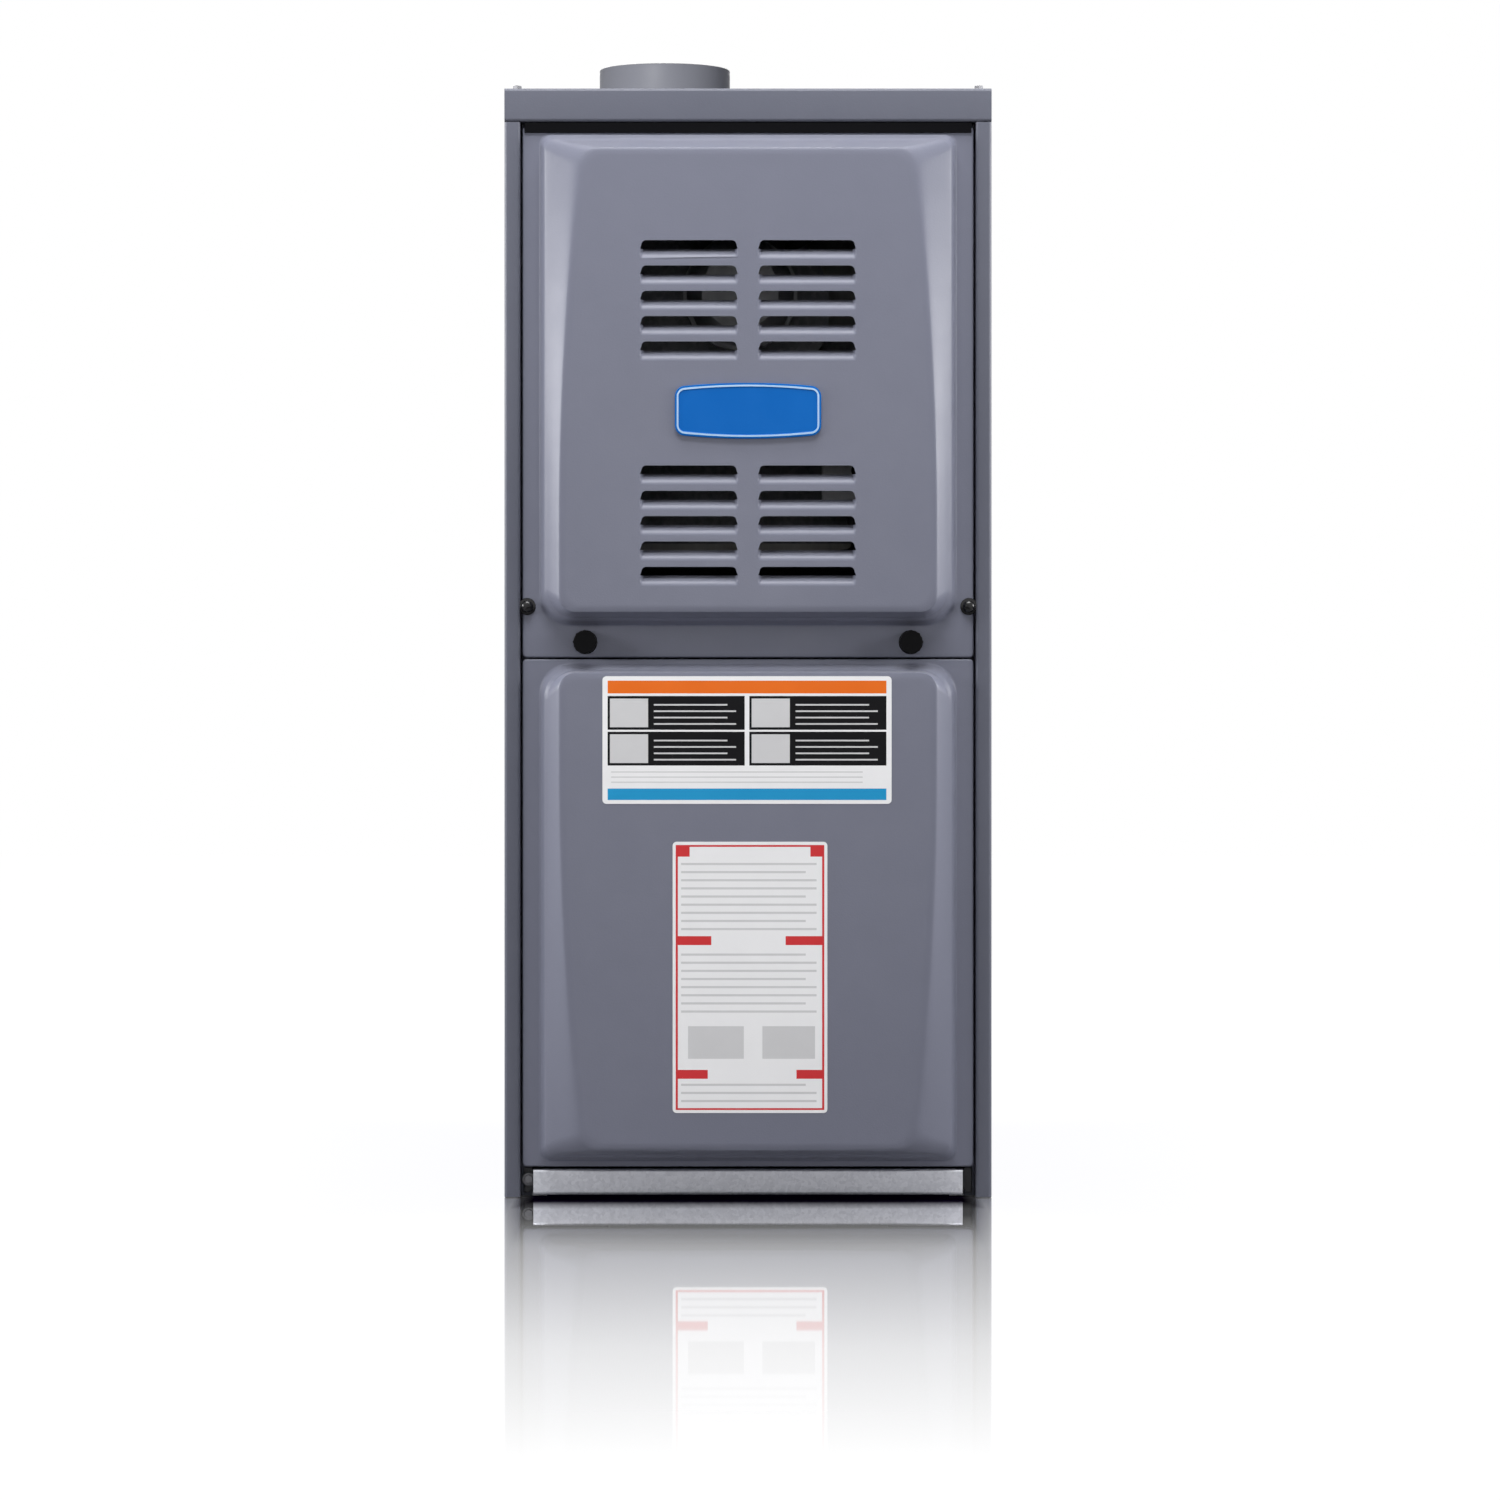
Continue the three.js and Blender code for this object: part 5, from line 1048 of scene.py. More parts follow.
@dataclass
class Louvres:
    """Two banks of lanced louvres, each with a see-through mouth over a ramp that runs inward.

    Attributes:
        tops: The top edge's height of the first row of each bank.
    """

    tops: tuple[float, float]
    rows: int = 5
    columns: int = 2
    width: float = 76.2 * MM
    column_pitch: float = 88.9 * MM
    row_pitch: float = 19.05 * MM
    height: float = 14.7 * MM
    rise: float = 8.3 * MM
    depth: float = 8.5 * MM
    shoulder: float = 3.6 * MM
    flare: float = 2.3 * MM
    end_wall: float = 3.0 * MM
    end_steps: int = 7
    rise_steps: int = 10
    middle_steps: int = 6
    arc_steps: int = 6
    even_share: float = 0.12
    curl: float = 2.3

    def places(self) -> list[Spot]:
        """Lists the middle and the top of every mouth, as (x, z)."""
        return [
            ((column - (self.columns - 1) / 2) * self.column_pitch, top - row * self.row_pitch)
            for top in self.tops
            for row in range(self.rows)
            for column in range(self.columns)
        ]

    def half_at(self, above: float) -> float:
        """Gives a mouth's half width at a height above its bottom edge."""
        lean = min(1.0, above / self.height)
        return self.width / 2 - self.flare * lean

    def shares(self) -> list[float]:
        """Lists the ramp's columns as shares of its half width, close together at its ends.

        Returns:
            The shares, from -1 to 1.
        """
        steps = range(self.end_steps + 1)
        ends = [1 - self.end_wall * step / self.end_steps / (self.width / 2) for step in steps]
        middle = [ends[-1] * (1 - 2 * step / self.middle_steps) for step in range(1, self.middle_steps)]
        return [-share for share in ends] + [-share for share in middle] + list(reversed(ends))

    def mouth(self, centre: float, top: float) -> list[Spot]:
        """Draws one mouth, with the ramp's own points along its bottom and its lower sides.

        Args:
            centre: The middle of the mouth along x.
            top: Its top edge's height.

        Returns:
            The outline's points, as (x, z).
        """
        low = top - self.height
        bottom = [(share * self.half_at(0.0), low) for share in self.shares()]
        right = [
            (self.half_at(self.rise * step / self.rise_steps), low + self.rise * step / self.rise_steps)
            for step in range(1, self.rise_steps + 1)
        ]
        reach = self.half_at(self.height) - self.shoulder
        angles = [math.pi / 2 * step / self.arc_steps for step in range(self.arc_steps + 1)]
        arc = [
            (reach + self.shoulder * math.cos(angle), top - self.shoulder + self.shoulder * math.sin(angle))
            for angle in angles
        ]
        upper = right + arc
        left = [(-x, z) for x, z in reversed(upper)]
        return [(centre + x, z) for x, z in bottom + upper + left]

    def mouths(self, work: bmesh.types.BMesh, face: float) -> Edges:
        """Adds every mouth's outline.

        Args:
            work: The mesh in work.
            face: The plateau's place along y.

        Returns:
            The outlines' edges.
        """
        return [
            edge for centre, top in self.places() for edge in add_ring(work, self.mouth(centre, top), face)
        ]

    def sink(self, share: float, climb: float) -> float:
        """Gives the ramp's depth.

        Args:
            share: The place across, from -1 to 1.
            climb: The place up the ramp, from 0 to 1.

        Returns:
            The depth behind the plateau.
        """
        curve = self.even_share * climb + (1 - self.even_share) * climb ** self.curl
        wall = min(1.0, (1 - abs(share)) * self.width / 2 / self.end_wall)
        return self.depth * curve * wall * wall * (3 - 2 * wall)

    def ramps(self, work: bmesh.types.BMesh, face: float) -> None:
        """Adds the ramp behind every mouth.

        Args:
            work: The mesh in work.
            face: The plateau's place along y.
        """
        shares = self.shares()
        for centre, top in self.places():
            made = bmesh.ops.create_grid(
                work, x_segments=len(shares) - 1, y_segments=self.rise_steps, size=1.0
            )["verts"]
            for vert in made:
                share = shares[round((vert.co.x + 1) / 2 * (len(shares) - 1))]
                climb = (vert.co.y + 1) / 2
                above = self.rise * climb
                vert.co = (
                    centre + share * self.half_at(above), face + self.sink(share, climb),
                    top - self.height + above,
                )


@dataclass
class Badge:
    """The bowed badge on the upper door: a blue border, a pale line and a sunk blank field."""

    node: str = "badge_plate"
    corner: float = 7.0 * MM
    bow: float = 3.0 * MM
    line: float = 1.2 * MM
    rim: float = 2.9 * MM
    sunk: float = 0.5 * MM
    edge: float = 0.8 * MM
    step: float = 0.1 * MM

    def __post_init__(self) -> None:
        """Takes the badge's place from the frame."""
        self.low, self.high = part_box(self.node)

    def outline(self, inset: float) -> list[Spot]:
        """Draws the badge's bowed outline, inset by a distance.

        Args:
            inset: How far inside the edge it runs.

        Returns:
            The outline's points, as (x, z).
        """
        half = self.high.x - inset
        middle = (self.low.z + self.high.z) / 2
        rise = (self.high.z - self.low.z) / 2 - self.bow - inset
        corner = max(self.corner - inset, 1.0 * MM)
        plain = rounded(lambda _: half, -rise, rise, (corner, corner), across=24, sides=4)
        return [
            (x, middle + z + math.copysign(self.bow, z) * (1 - (x / half) ** 2) * abs(z) / rise)
            for x, z in plain
        ]

    def build(self) -> None:
        """Builds the badge."""
        work = bmesh.new()
        front = self.low.y
        back = self.high.y
        step = self.step
        insets = (
            (0.0, back - front), (0.0, self.edge), (self.edge * 0.3, self.edge * 0.3), (self.edge, step),
            (self.line, step), (self.line + 2 * step, 0.0), (self.rim - 2 * step, 0.0),
            (self.rim, 2 * step), (self.rim + 3 * step, self.sunk), (self.rim + 15 * step, self.sunk),
        )
        add_skin(work, [(self.outline(inset), front + depth) for inset, depth in insets])
        bmesh.ops.contextual_create(work, geom=rim_at(work, back))
        bmesh.ops.contextual_create(work, geom=rim_at(work, front + self.sunk))
        for face in work.faces:
            face.material_index = int(all(vert.co.y < front + step / 2 for vert in face.verts))
        tidy(work)
        finishes = [BADGE_BLUE, BADGE_RIM]
        badge = make_piece(work, "badge_blank", body_of(self.node), finishes, [self.node])
        light_apart(badge, LightGroup.FRONT)


@dataclass
class TopShadeStrip:
    """The black strip along the upper door's top edge under the cap: painted shade, a dark sheet that stands
    for the shadow under the cap.
    """

    half: float = 169.0 * MM
    low: float = 804.6 * MM
    high: float = 812.4 * MM
    depth: float = 1.5 * MM
    gap: float = 0.2 * MM
    ease: float = 0.6 * MM

    def build(self, carrier: PressedDoor) -> None:
        """Builds the seal on a door.

        Args:
            carrier: The door whose flange it sits on.
        """
        back = carrier.flange - self.gap
        work = bmesh.new()
        bmesh.ops.create_cube(work, size=1.0)
        for vert in work.verts:
            vert.co = (
                vert.co.x * 2 * self.half, back + (vert.co.y - 0.5) * self.depth,
                self.low + (vert.co.z + 0.5) * (self.high - self.low),
            )
        ease_edges(work, work.edges, self.ease, 3)
        tidy(work)
        # A dark sheet that stands for the shadow under the cap: painted shade.
        make_piece(work, "door_top_painted_shade", "upper_door", [SHADE_STRIP_BLACK])


@dataclass
class Knobs:
    """The two black knobs on the upper door's flat strip."""

    nodes: tuple[str, ...] = ("left_door_knob", "right_door_knob")
    ease: float = 0.5 * MM
    smooth_below: float = math.radians(42)

    def build(self) -> None:
        """Builds both knobs."""
        for node in self.nodes:
            dress_round(node, BLACK_PLASTIC, self.ease, self.smooth_below)


# ---------------------------------------------------------------- labels


@dataclass(frozen=True)
class Panel:
    """One plain area of a label, in shares of its width and height from its lower left corner."""

    left: float
    right: float
    low: float
    high: float
    finish: Finish


@dataclass
class Label:
    """A vinyl label made of plain coloured areas, stuck flat on a door's plateau."""

    name: str
    left: float
    right: float
    low: float
    high: float
    panels: tuple[Panel, ...]
    corner: float = 3.0 * MM
    sheet: float = 0.15 * MM
    lift: float = 0.2 * MM

    def build(self, carrier: PressedDoor) -> None:
        """Builds the label on a door.

        Args:
            carrier: The door that it is stuck to.
        """
        work = bmesh.new()
        depth = carrier.face - self.lift
        width = self.right - self.left
        height = self.high - self.low
        bmesh.ops.create_grid(work, x_segments=1, y_segments=1, size=0.5)
        for vert in work.verts:
            vert.co = (self.left + (vert.co.x + 0.5) * width, depth, self.low + (vert.co.y + 0.5) * height)
        bmesh.ops.bevel(
            work, geom=list(work.verts), offset=self.corner, offset_type="OFFSET", segments=5, profile=0.5,
            affect="VERTICES", material=-1,
        )
        upright = sorted({share for panel in self.panels for share in (panel.left, panel.right)})
        level = sorted({share for panel in self.panels for share in (panel.low, panel.high)})
        cuts = [((self.left + share * width, 0, 0), (1, 0, 0)) for share in upright]
        cuts += [((0, 0, self.low + share * height), (0, 0, 1)) for share in level]
        for spot, normal in cuts:
            bmesh.ops.bisect_plane(
                work, geom=work.verts[:] + work.edges[:] + work.faces[:], plane_co=spot, plane_no=normal
            )
        finishes = [VINYL_WHITE] + list(dict.fromkeys(panel.finish for panel in self.panels))
        for face in work.faces:
            middle = face.calc_center_median()
            share = ((middle.x - self.left) / width, (middle.z - self.low) / height)
            for panel in self.panels:
                if panel.left < share[0] < panel.right and panel.low < share[1] < panel.high:
                    face.material_index = finishes.index(panel.finish)
            if face.normal.y > 0:
                face.normal_flip()
        label = make_piece(work, self.name, body_of(carrier.node), finishes, sheet=self.sheet)
        light_apart(label, LightGroup.FRONT)


def upper_label() -> Label:
    """Describes the wide label: an orange head band, dark and pale blocks, and a blue foot band.

    Returns:
        The label.
    """
    edge = 0.018
    columns = (edge, 0.508)
    rows = (0.58, 0.30)
    panels = [Panel(edge, 1 - edge, 0.865, 0.965, VINYL_ORANGE)]
    for left in columns:
        right = left + 0.474
        for low in rows:
            panels.append(Panel(left, right, low, low + 0.265, VINYL_BLACK))
            panels.append(Panel(left + 0.008, left + 0.14, low + 0.02, low + 0.245, VINYL_GREY))
            for rule in range(4):
                end = right - 0.03 * (1 + rule % 2)
                foot = low + 0.04 + 0.05 * rule
                panels.append(Panel(left + 0.16, end, foot, foot + 0.012, VINYL_GREY))
    for rule in range(3):
        foot = 0.165 + 0.04 * rule
        panels.append(Panel(0.03, 0.90, foot, foot + 0.009, VINYL_GREY))
    panels.append(Panel(edge, 1 - edge, 0.03, 0.12, VINYL_BLUE))
    return Label(
        "lower_door_wide_label", left=-109.5 * MM, right=108.0 * MM, low=297.5 * MM, high=393.5 * MM,
        panels=tuple(panels),
    )


def lower_label() -> Label:
    """Describes the tall label: white with a thin red border, red end blocks and pale rules.

    Returns:
        The label.
    """
    groups = ((0.674, 9), (0.370, 8), (0.040, 3))
    pitch = 0.03
    rules = [round(foot + pitch * rule, 3) for foot, count in groups for rule in range(count)]
    outer = (0.02, 0.98, 0.011, 0.988)
    inner = (0.034, 0.966, 0.018, 0.981)
    panels = [
        Panel(outer[0], outer[1], outer[2], inner[2], VINYL_RED),
        Panel(outer[0], outer[1], inner[3], outer[3], VINYL_RED),
        Panel(outer[0], inner[0], outer[2], outer[3], VINYL_RED),
        Panel(inner[1], outer[1], outer[2], outer[3], VINYL_RED),
    ]
    for left_end, right_start, low, high in (
        (0.11, 0.89, 0.945, 0.981), (0.25, 0.73, 0.619, 0.652), (0.227, 0.80, 0.126, 0.159),
    ):
        panels.append(Panel(inner[0], left_end, low, high, VINYL_RED))
        panels.append(Panel(right_start, inner[1], low, high, VINYL_RED))
    for row, foot in enumerate(rules):
        panels.append(Panel(0.055, 0.93 - 0.07 * (row % 3 == 1), foot, foot + 0.008, VINYL_GREY))
    for left, right in ((0.10, 0.46), (0.58, 0.92)):
        panels.append(Panel(left, right, 0.20, 0.32, VINYL_GREY))
    return Label(
        "lower_door_tall_label", left=-56.7 * MM, right=59.7 * MM, low=65.0 * MM, high=269.0 * MM,
        panels=tuple(panels),
    )


# ---------------------------------------------------------------- cabinet


@dataclass
class HexScrew:
    """A sheet metal screw with a hex washer head."""

    washer: float = 5.6 * MM
    washer_height: float = 0.9 * MM
    across: float = 6.35 * MM
    head: float = 4.0 * MM
    ease: float = 0.6 * MM
    smooth_below: float = math.radians(32)

    def add(self, work: bmesh.types.BMesh, place: Place, outward: Place) -> None:
        """Adds one screw head.

        Args:
            work: The mesh in work.
            place: Where its washer meets the sheet.
            outward: The direction that its head faces.
        """
        turn = Vector((0, 0, 1)).rotation_difference(Vector(outward)).to_matrix().to_4x4()
        seat = Matrix.Translation(place) @ turn
        bmesh.ops.create_cone(
            work, cap_ends=True, segments=20, radius1=self.washer, radius2=self.washer * 0.86,
            depth=self.washer_height, matrix=seat @ Matrix.Translation((0, 0, self.washer_height / 2)),
        )
        radius = self.across / math.sqrt(3)
        hexagon = bmesh.ops.create_cone(
            work, cap_ends=True, segments=6, radius1=radius, radius2=radius, depth=self.head,
            matrix=seat @ Matrix.Translation((0, 0, self.head / 2)),
        )
        top = [
            edge for vert in hexagon["verts"] for edge in vert.link_edges
            if all((seat.inverted() @ end.co).z > self.head * 0.9 for end in edge.verts)
        ]
        ease_edges(work, dict.fromkeys(top), self.ease, 2)


@dataclass
class Cabinet:
    """The folded sheet cabinet: sides, back, top, cap and base, with its screws and knockouts.

    Attributes:
        painted: The painted frame nodes.
        zinc: The galvanised ones.
        clips: The dark corner clips.
        screw: The screw that holds it all.
        top_screws: The screws along each side of the top, from front to back.
        side_screws: The screws on each side, as (y, z).
        back_screws: The screws up each side of the back.
        knockouts: The part-punched discs on each side, as (y, z, radius).
    """

    painted: tuple[str, ...] = (
        "left_side_panel", "right_side_panel", "back_panel", "top_front_cap", "top_panel",
    )
    zinc: tuple[str, ...] = ("left_base_rail", "right_base_rail", "bottom_panel")
    clips: tuple[str, ...] = ("left_base_clip", "right_base_clip")
    clip_ease: float = 0.6 * MM
    screw: HexScrew = field(default_factory=HexScrew)
    top_reach: float = 175.1 * MM
    top_screws: tuple[float, ...] = (-330 * MM, -150 * MM, -112 * MM, 120 * MM, 356 * MM)
    side_screws: tuple[Spot, ...] = (
        *((y * MM, 20 * MM) for y in (-225, -60, 180, 350)),
        *((y * MM, 822 * MM) for y in (-230, -160, 60, 340)),
        *((-120 * MM, z * MM) for z in (430, 560, 690, 800)),
        *((y * MM, 406.4 * MM) for y in (-240, 0, 200, 340)),
    )
    back_reach: float = 177.4 * MM
    back_screws: tuple[float, ...] = (40 * MM, 160 * MM, 290 * MM, 540 * MM, 670 * MM, 800 * MM)
    clip_screw_lift: float = 0.5 * MM
    knockouts: tuple[Place, ...] = (
        (-240 * MM, 470 * MM, 14 * MM), (-240 * MM, 520 * MM, 11 * MM),
        (-240 * MM, 330 * MM, 14 * MM), (-240 * MM, 290 * MM, 11 * MM),
    )
    knockout_steps: int = 40

    def build(self) -> None:
        """Builds the cabinet's pieces in order."""
        for node in self.painted:
            # The cabinet's painted sheets take the darker copy of the slate paint, which is painted shade.
            dress_round(node, SLATE_PAINT_SHADED_COPY, smooth_below=SMOOTH_FOLDS_BELOW)
        for node in self.zinc:
            dress_round(node, ZINC, smooth_below=SMOOTH_FOLDS_BELOW)
        for node in self.clips:
            dress_round(node, DARK_BRACKET, self.clip_ease)
        self.build_screws()
        self.build_knockouts()

    def screw_places(self) -> list[tuple[Place, Place]]:
        """Lists every outer screw as its place and the direction that it faces.

        Returns:
            The places and directions.
        """
        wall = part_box("right_side_panel")[1].x
        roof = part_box("top_front_cap")[1].z
        back = CAD_BOX[1].y
        places: list[tuple[Place, Place]] = []
        for side in (-1, 1):
            places += [((side * self.top_reach, y, roof), (0, 0, 1)) for y in self.top_screws]
            places += [((side * wall, y, z), (side, 0, 0)) for y, z in self.side_screws]
            places += [((side * self.back_reach, back, z), (0, 1, 0)) for z in self.back_screws]
        clip_low, clip_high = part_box("left_base_clip")
        middle = (clip_low + clip_high) / 2
        places.append(((middle.x, clip_low.y, middle.z + self.clip_screw_lift), (0, -1, 0)))
        return places

    def build_screws(self) -> None:
        """Builds all outer screw heads as one piece."""
        work = bmesh.new()
        for place, outward in self.screw_places():
            self.screw.add(work, place, outward)
        tidy(work)
        make_piece(work, "cabinet_screws", "cabinet", [SCREW_STEEL], smooth_below=self.screw.smooth_below)

    def build_knockouts(self) -> None:
        """Builds the part-punched discs in the side panels."""
        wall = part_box("right_side_panel")[1].x
        rise = 0.5 * MM
        work = bmesh.new()
        for side in (-1, 1):
            for y, z, radius in self.knockouts:
                disc = ((0.0, rise), (radius - 0.8 * MM, rise), (radius - 0.2 * MM, rise / 2), (radius, 0.0))
                profile = [(reach, side * height) for reach, height in disc]
                add_lathe(work, profile, (side * wall, y, z), (1, 0, 0), self.knockout_steps)
        tidy(work)
        make_piece(work, "side_knockouts", "cabinet", [SLATE_PAINT_SHADED_COPY])


@dataclass
class VentCollar:
    """The round flue collar on the cap: a rolled rim, a plain wall and a small foot flange."""

    node: str = "vent_pipe"
    wall: float = 0.8 * MM
    bead: float = 1.3 * MM
    foot: float = 3.0 * MM
    foot_gap: float = 0.2 * MM
    foot_top: float = 0.8 * MM
    steps: int = 96

    def build(self) -> None:
        """Builds the collar."""
        low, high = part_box(self.node)
        centre = ((low.x + high.x) / 2, (low.y + high.y) / 2, 0.0)
        radius = (high.x - low.x) / 2
        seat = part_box("top_front_cap")[1].z
        bead = self.bead
        curl = [
            (radius - bead + bead * math.cos(angle), high.z - bead + bead * math.sin(angle))
            for angle in (math.pi * step / 8 for step in range(9))
        ]
        profile = [
            (radius - self.wall, low.z), (radius, low.z), (radius, seat + self.foot_gap),
            (radius + self.foot, seat + self.foot_gap), (radius + self.foot, seat + self.foot_top),
            (radius + 0.9 * MM, seat + 0.9 * MM), (radius, seat + 2.0 * MM),
            (radius, high.z - 4 * bead), (radius - 0.2 * MM, high.z - 2.4 * bead),
            *curl, (radius - 2 * bead, high.z - 2 * bead), (radius - self.wall, high.z - 5 * bead),
            (radius - self.wall, low.z),
        ]
        work = bmesh.new()
        add_lathe(work, profile, centre, (0, 0, 1), self.steps)
        tidy(work)
        collar = make_piece(work, "vent_collar", body_of(self.node), [COLLAR_PAINT], [self.node])
        light_apart(collar, LightGroup.NO_COLLAR, "EXCLUDE")
        light_apart(collar, LightGroup.COLLAR)


@dataclass
class EdgeFastener:
    """One black moulded fastener at the upper door's edge: a washer under a domed head with a tongue."""

    node: str
    offset: float = 1.3 * MM
    tongue: Place = (5.0 * MM, 1.6 * MM, 1.6 * MM)
    tongue_reach: float = 5.9 * MM
    tongue_turn: float = math.radians(35)
    steps: int = 32
    profile: tuple[Spot, ...] = (
        (0.0, 5.6 * MM), (2.2 * MM, 5.5 * MM), (3.4 * MM, 5.0 * MM), (4.2 * MM, 4.0 * MM),
        (4.4 * MM, 2.2 * MM), (4.6 * MM, 1.6 * MM), (6.2 * MM, 1.3 * MM), (6.5 * MM, 0.9 * MM),
        (6.5 * MM, 0.0), (0.0, 0.0),
    )

    def build(self, seat: float) -> None:
        """Builds the fastener.

        Args:
            seat: The place along y of the sheet that it sits on.
        """
        low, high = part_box(self.node)
        side = math.copysign(1.0, low.x)
        centre = ((low.x + high.x) / 2 + side * self.offset, seat, (low.z + high.z) / 2)
        work = bmesh.new()
        outward = [(radius, -reach) for radius, reach in self.profile]
        add_lathe(work, outward, centre, (0, 1, 0), self.steps)
        reach = Matrix.Translation((centre[0], seat - self.tongue_reach, centre[2]))
        tongue = bmesh.ops.create_cube(work, size=1.0, matrix=reach @ Matrix.Diagonal((*self.tongue, 1.0)))
        turn = Matrix.Rotation(side * self.tongue_turn, 3, "Y")
        bmesh.ops.rotate(work, cent=centre, matrix=turn, verts=tongue["verts"])
        tidy(work)
        name = self.node.replace("_clip", "_fastener")
        make_piece(work, name, body_of(self.node), [GLOSS_BLACK], [self.node])


# ---------------------------------------------------------------- inner parts


@dataclass
class InnerParts:
    """The parts behind the doors: each sub-assembly's frame nodes with their finishes.

    Attributes:
        flat: The plain sheets that keep the frame's own mesh.
    """

    flat: frozenset[str] = frozenset(
        {"vestibule_panel", "blower_deck", "tube_rack", "control_panel", "control_board"}
    )
    heat: dict[str, Finish] = field(default_factory=lambda: {
        # The darker zinc copy here and on the inducer cover is painted shade.
        "vestibule_panel": ZINC_SHADED_COPY,
        "blower_deck": ZINC,
        "tube_rack": ALUMINISED,
        "collector_box": ALUMINISED,
        **{f"heat_exchanger_tube_{number}": ALUMINISED for number in (1, 2, 3)},
        "limit_switch": BLACK_PLASTIC,
    })
    vent: dict[str, Finish] = field(default_factory=lambda: {
        "inducer_housing": ENAMEL,
        "inducer_cover": ZINC_SHADED_COPY,
        "inducer_wheel": ALUMINISED,
        "inducer_motor": CAST,
        "vent_adapter": ENAMEL,
        "pressure_switch": GREY_PLASTIC,
        "pressure_hose": RUBBER,
    })
    gas: dict[str, Finish] = field(default_factory=lambda: {
        "burner_box": ALUMINISED,
        "burner_mount_plate": ALUMINISED,
        **{f"burner_{number}": ALUMINISED for number in (1, 2, 3)},
        "gas_manifold": ENAMEL,
        "gas_valve": CAST,
        "gas_valve_switch": BLACK_PLASTIC,
        "igniter": CERAMIC,
        "flame_sensor": CERAMIC,
        "rollout_switch": BLACK_PLASTIC,
        "rollout_reset_button": RED_PLASTIC,
        "gas_pipe_grommet": RUBBER,
    })
    blower: dict[str, Finish] = field(default_factory=lambda: {
        "blower_housing": ZINC,
        "blower_wheel": ZINC,
        "blower_motor": ENAMEL,
        "motor_mount": ZINC,
        "run_capacitor": BRIGHT,
        "capacitor_strap": ZINC,
    })
    controls: dict[str, Finish] = field(default_factory=lambda: {
        "control_panel": ZINC,
        "control_board": BOARD,
        "terminal_strip": BLACK_PLASTIC,
        "transformer": BRIGHT,
        "door_switch": BLACK_PLASTIC,
        "door_switch_plunger": GREY_PLASTIC,
        "junction_box": ZINC,
        "junction_box_cover": ZINC,
    })

    def build(self) -> None:
        """Dresses every inner part."""
        for group in (self.heat, self.vent, self.gas, self.blower, self.controls):
            for node, finish in group.items():
                if node in self.flat:
                    dress_flat(node, finish)
                else:
                    dress_round(node, finish)


# ---------------------------------------------------------------- studio


@dataclass
class Softbox:
    """One soft rectangular lamp, aimed at a point."""

    name: str
    place: Place
    aim: Place
    size: Spot
    power: float
    group: LightGroup | None = None

    def build(self) -> None:
        """Builds the lamp."""
        data = bpy.data.lights.new(self.name, "AREA")
        data.shape = "RECTANGLE"
        data.size, data.size_y = self.size
        data.energy = self.power
        lamp = add_object(self.name, data)
        lamp.location = self.place
        lamp.visible_camera = False
        ray = Vector(self.aim) - Vector(self.place)
        lamp.rotation_euler = ray.to_track_quat("-Z", "Z").to_euler()
        if self.group:
            lamp.light_linking.receiver_collection = bpy.data.collections[self.group.value]


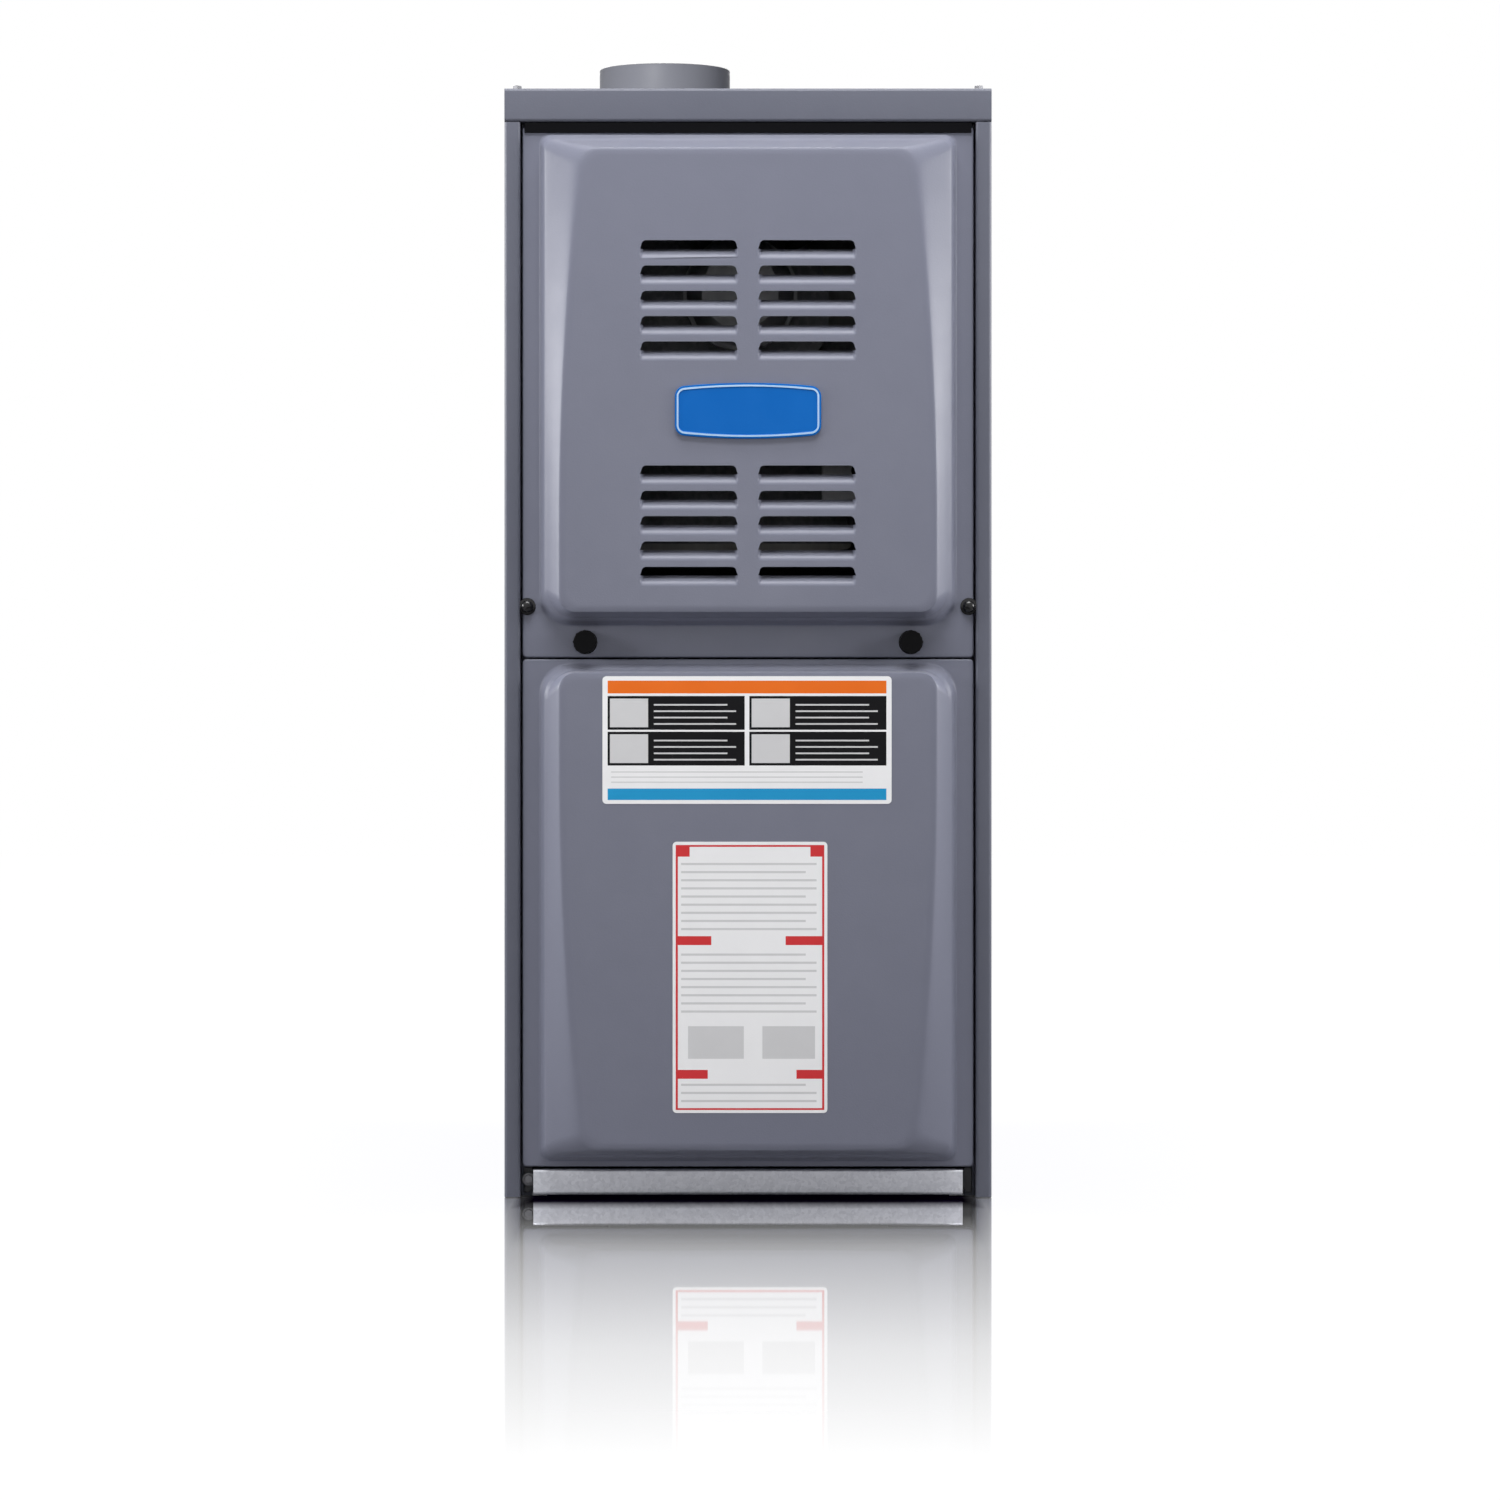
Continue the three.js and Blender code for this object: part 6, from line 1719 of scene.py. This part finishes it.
@dataclass
class Studio:
    """A white studio with a polished pale floor, soft lamps and a level camera.

    Attributes:
        fill: The strength of the world's light on what isn't seen directly or mirrored.
        furthest: The distance from the furnace past which the floor stays the same.
        mirror_fade: The mirrored height at which the main mirror share ends.
        foot_fade: The mirrored height at which the stronger share at the foot ends.
        under_fade: The mirrored height at which the share between the columns ends.
        most_mirror: The greatest mirror share.
        near_glow: The floor's glow at the furnace, which reaches 1 at glow_reach.
        shade_reach: Where the painted shadow strip on the floor before the base starts to fade, and where it
            ends.
        shade_edge: The same at its sides, from the cabinet's side.
    """

    lens: float = 142.9
    distance: float = 4.5
    eye_height: float = 0.338
    eye_x: float = 0.0015
    fill: float = 0.05
    floor_half: float = 14.0
    furthest: float = 2.6
    sunk: float = 0.5 * MM
    mirror_fade: float = 205.0 * MM
    mirror_share: float = 0.66
    foot_fade: float = 35.0 * MM
    foot_share: float = 0.24
    under_fade: float = 110.0 * MM
    under_share: float = 0.2
    most_mirror: float = 0.97
    near_glow: float = 0.93
    glow_reach: float = 0.3
    shade_reach: Spot = (0.01, 0.085)
    shade_edge: Spot = (-0.022, -0.008)
    # The shade_ tones colour the painted shadow strip; the clear_ tones are the floor's plain colours.
    shade_matt: Tone = (0.01, 0.004, 0.02)
    shade_glow: Tone = (0.02, 0.008, 0.045)
    shade_gloss: Tone = (0.012, 0.004, 0.028)
    clear_matt: Tone = (0.06, 0.06, 0.06)
    clear_glow: Tone = (1.0, 1.0, 1.0)
    clear_gloss: Tone = (0.98, 0.98, 1.0)
    unseen_floor: Tone = (0.27, 0.27, 0.28)

    def build(self) -> None:
        """Builds the camera, the lamps, the backdrop light and the floor."""
        for group in LightGroup:
            bpy.data.collections.new(group.value)
        self.build_camera()
        self.build_world()
        self.build_floor()
        for lamp in self.lamps():
            lamp.build()

    def lamps(self) -> list[Softbox]:
        """Describes the soft lamps.

        Returns:
            The lamps, in the order in which they are built.
        """
        most, front, collar = LightGroup.NO_COLLAR, LightGroup.FRONT, LightGroup.COLLAR
        return [
            Softbox("left_strip", (-1.5, -0.45, 0.78), (-0.15, -0.36, 0.6), (0.5, 1.4), 30.0, most),
            Softbox("right_strip", (1.5, -0.45, 0.78), (0.15, -0.36, 0.6), (0.5, 1.4), 27.0, most),
            Softbox("top_front", (0.0, -1.15, 1.95), (0.0, -0.36, 0.6), (1.2, 0.4), 23.0, most),
            Softbox("overhead", (0.0, -0.66, 2.0), (0.0, -0.38, 0.6), (1.2, 0.3), 16.0, most),
            Softbox("front_strip", (-0.02, -2.0, 0.5), (-0.01, -0.36, 0.45), (0.12, 0.6), 2.6, front),
            Softbox("collar_key", (-0.44, -1.34, 1.1), (-0.065, -0.2, 0.85), (0.4, 0.3), 19.0, collar),
            Softbox("back_fill", (0.0, 3.2, 2.2), (0.0, 0.3, 0.4), (2.6, 1.6), 110.0),
        ]

    def build_camera(self) -> None:
        """Builds the camera level with the photograph's."""
        data = bpy.data.cameras.new("camera")
        data.lens = self.lens
        data.sensor_width = 36.0
        camera = add_object("camera", data)
        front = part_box("left_side_panel")[0].y
        camera.location = (self.eye_x, front - self.distance, self.eye_height)
        camera.rotation_euler = (math.pi / 2, 0.0, 0.0)
        bpy.context.scene.camera = camera

    def build_world(self) -> None:
        """Builds a backdrop that is white to see and a soft grey fill to light with."""
        world = bpy.data.worlds.new("studio")
        link = blank_tree(world)
        path = link.node("ShaderNodeLightPath")
        seen = link.math("MAXIMUM", path.outputs["Is Camera Ray"], path.outputs["Is Transmission Ray"])
        plain = link.ramp(seen, 0.0, 1.0, self.fill, 1.0)
        strength = link.math("MAXIMUM", plain, path.outputs["Is Glossy Ray"])
        shade = link.node("ShaderNodeBackground", Color=(1.0, 1.0, 1.0, 1.0), Strength=strength)
        link.node("ShaderNodeOutputWorld", Surface=shade.outputs["Background"])
        bpy.context.scene.world = world

    def build_floor(self) -> None:
        """Builds the floor, which mirrors the furnace near its foot and is plain white further off."""
        work = bmesh.new()
        level = Matrix.Translation((0, 0, -self.sunk))
        bmesh.ops.create_grid(work, x_segments=1, y_segments=1, size=self.floor_half, matrix=level)
        mesh = bpy.data.meshes.new("floor")
        work.to_mesh(mesh)
        work.free()
        mesh.materials.append(self.floor_material())
        add_object("floor", mesh)

    def floor_material(self) -> bpy.types.Material:
        """Builds the polished floor's material.

        Returns:
            The material.
        """
        made = bpy.data.materials.new("polished_floor")
        link = blank_tree(made)
        spot = link.node("ShaderNodeTexCoord")
        split = link.node("ShaderNodeSeparateXYZ", Vector=spot.outputs["Object"])
        reach = CAD_BOX[1]
        beside = link.math("SUBTRACT", link.math("ABSOLUTE", split.outputs["X"]), reach.x)
        ahead = link.math("SUBTRACT", link.math("ABSOLUTE", split.outputs["Y"]), reach.y)
        off = link.math("MAXIMUM", link.math("MAXIMUM", beside, ahead), 0.0)
        away = link.math("MINIMUM", off, self.furthest)
        # The height that the front camera sees mirrored at this spot fades the mirror evenly upwards.
        mirrored = link.math(
            "DIVIDE", link.math("MULTIPLY", away, self.eye_height), link.math("SUBTRACT", self.distance, away)
        )
        # Painted shadow: the floor turns dark in a strip just before the base, between its sides, fading out
        # away from it.
        beyond = link.ramp(beside, *self.shade_edge)
        behind = link.ramp(split.outputs["Y"], -0.01, 0.01)
        shade = link.math(
            "MAXIMUM", link.ramp(away, *self.shade_reach), link.math("MAXIMUM", beyond, behind)
        )
        share = link.math(
            "ADD", link.ramp(mirrored, 0.0, self.mirror_fade, self.mirror_share, 0.0),
            link.ramp(mirrored, 0.0, self.foot_fade, self.foot_share, 0.0),
        )
        under = link.ramp(mirrored, 0.0, self.under_fade, self.under_share, 0.0)
        share = link.math("ADD", share, link.math("MULTIPLY", under, link.math("SUBTRACT", 1.0, beyond)))
        share = link.math("MINIMUM", share, self.most_mirror)
        matt = link.node("ShaderNodeBsdfDiffuse", Color=link.tint(shade, self.shade_matt, self.clear_matt))
        glow = link.node(
            "ShaderNodeEmission", Color=link.tint(shade, self.shade_glow, self.clear_glow),
            Strength=link.ramp(away, 0.0, self.glow_reach, self.near_glow, 1.0),
        )
        lit = link.node("ShaderNodeAddShader")
        link.feed(lit.inputs[0], matt.outputs["BSDF"])
        link.feed(lit.inputs[1], glow.outputs["Emission"])
        glossy = link.tint(shade, self.shade_gloss, self.clear_gloss)
        gloss = link.node("ShaderNodeBsdfGlossy", Color=glossy, Roughness=0.02)
        polished = link.mix(share, lit.outputs["Shader"], gloss.outputs["BSDF"])
        plain = link.node("ShaderNodeBsdfDiffuse", Color=(*self.unseen_floor, 1.0))
        path = link.node("ShaderNodeLightPath")
        seen = link.mix(path.outputs["Is Camera Ray"], plain.outputs["BSDF"], polished)
        link.node("ShaderNodeOutputMaterial", Surface=seen)
        return made


def main() -> None:
    """Builds the studio and then the furnace, sub-assembly by sub-assembly."""
    logging.basicConfig(level=logging.INFO, format="%(name)s %(message)s")
    bpy.context.scene.view_settings.view_transform = "Standard"
    Studio().build()
    Cabinet().build()
    VentCollar().build()
    upper = PressedDoor(
        "upper_door", wide_below=True, bottom_margin=24 * MM, top_margin=5.4 * MM,
        plateau_low=10 * MM, plateau_high=13 * MM,
    )
    upper.build(Louvres(tops=(upper.top - 87.9 * MM, upper.bottom + 144.0 * MM)))
    lower = PressedDoor(
        "lower_door", wide_below=False, bottom_margin=4 * MM, top_margin=3.2 * MM,
        plateau_low=10 * MM, plateau_high=7.5 * MM,
    )
    lower.build()
    Badge().build()
    # The black strip under the cap is painted shade.
    TopShadeStrip().build(upper)
    upper_label().build(lower)
    lower_label().build(lower)
    Knobs().build()
    for node in ("left_edge_clip", "right_edge_clip"):
        EdgeFastener(node).build(upper.flange)
    InnerParts().build()


if __name__ == "__main__":
    main()
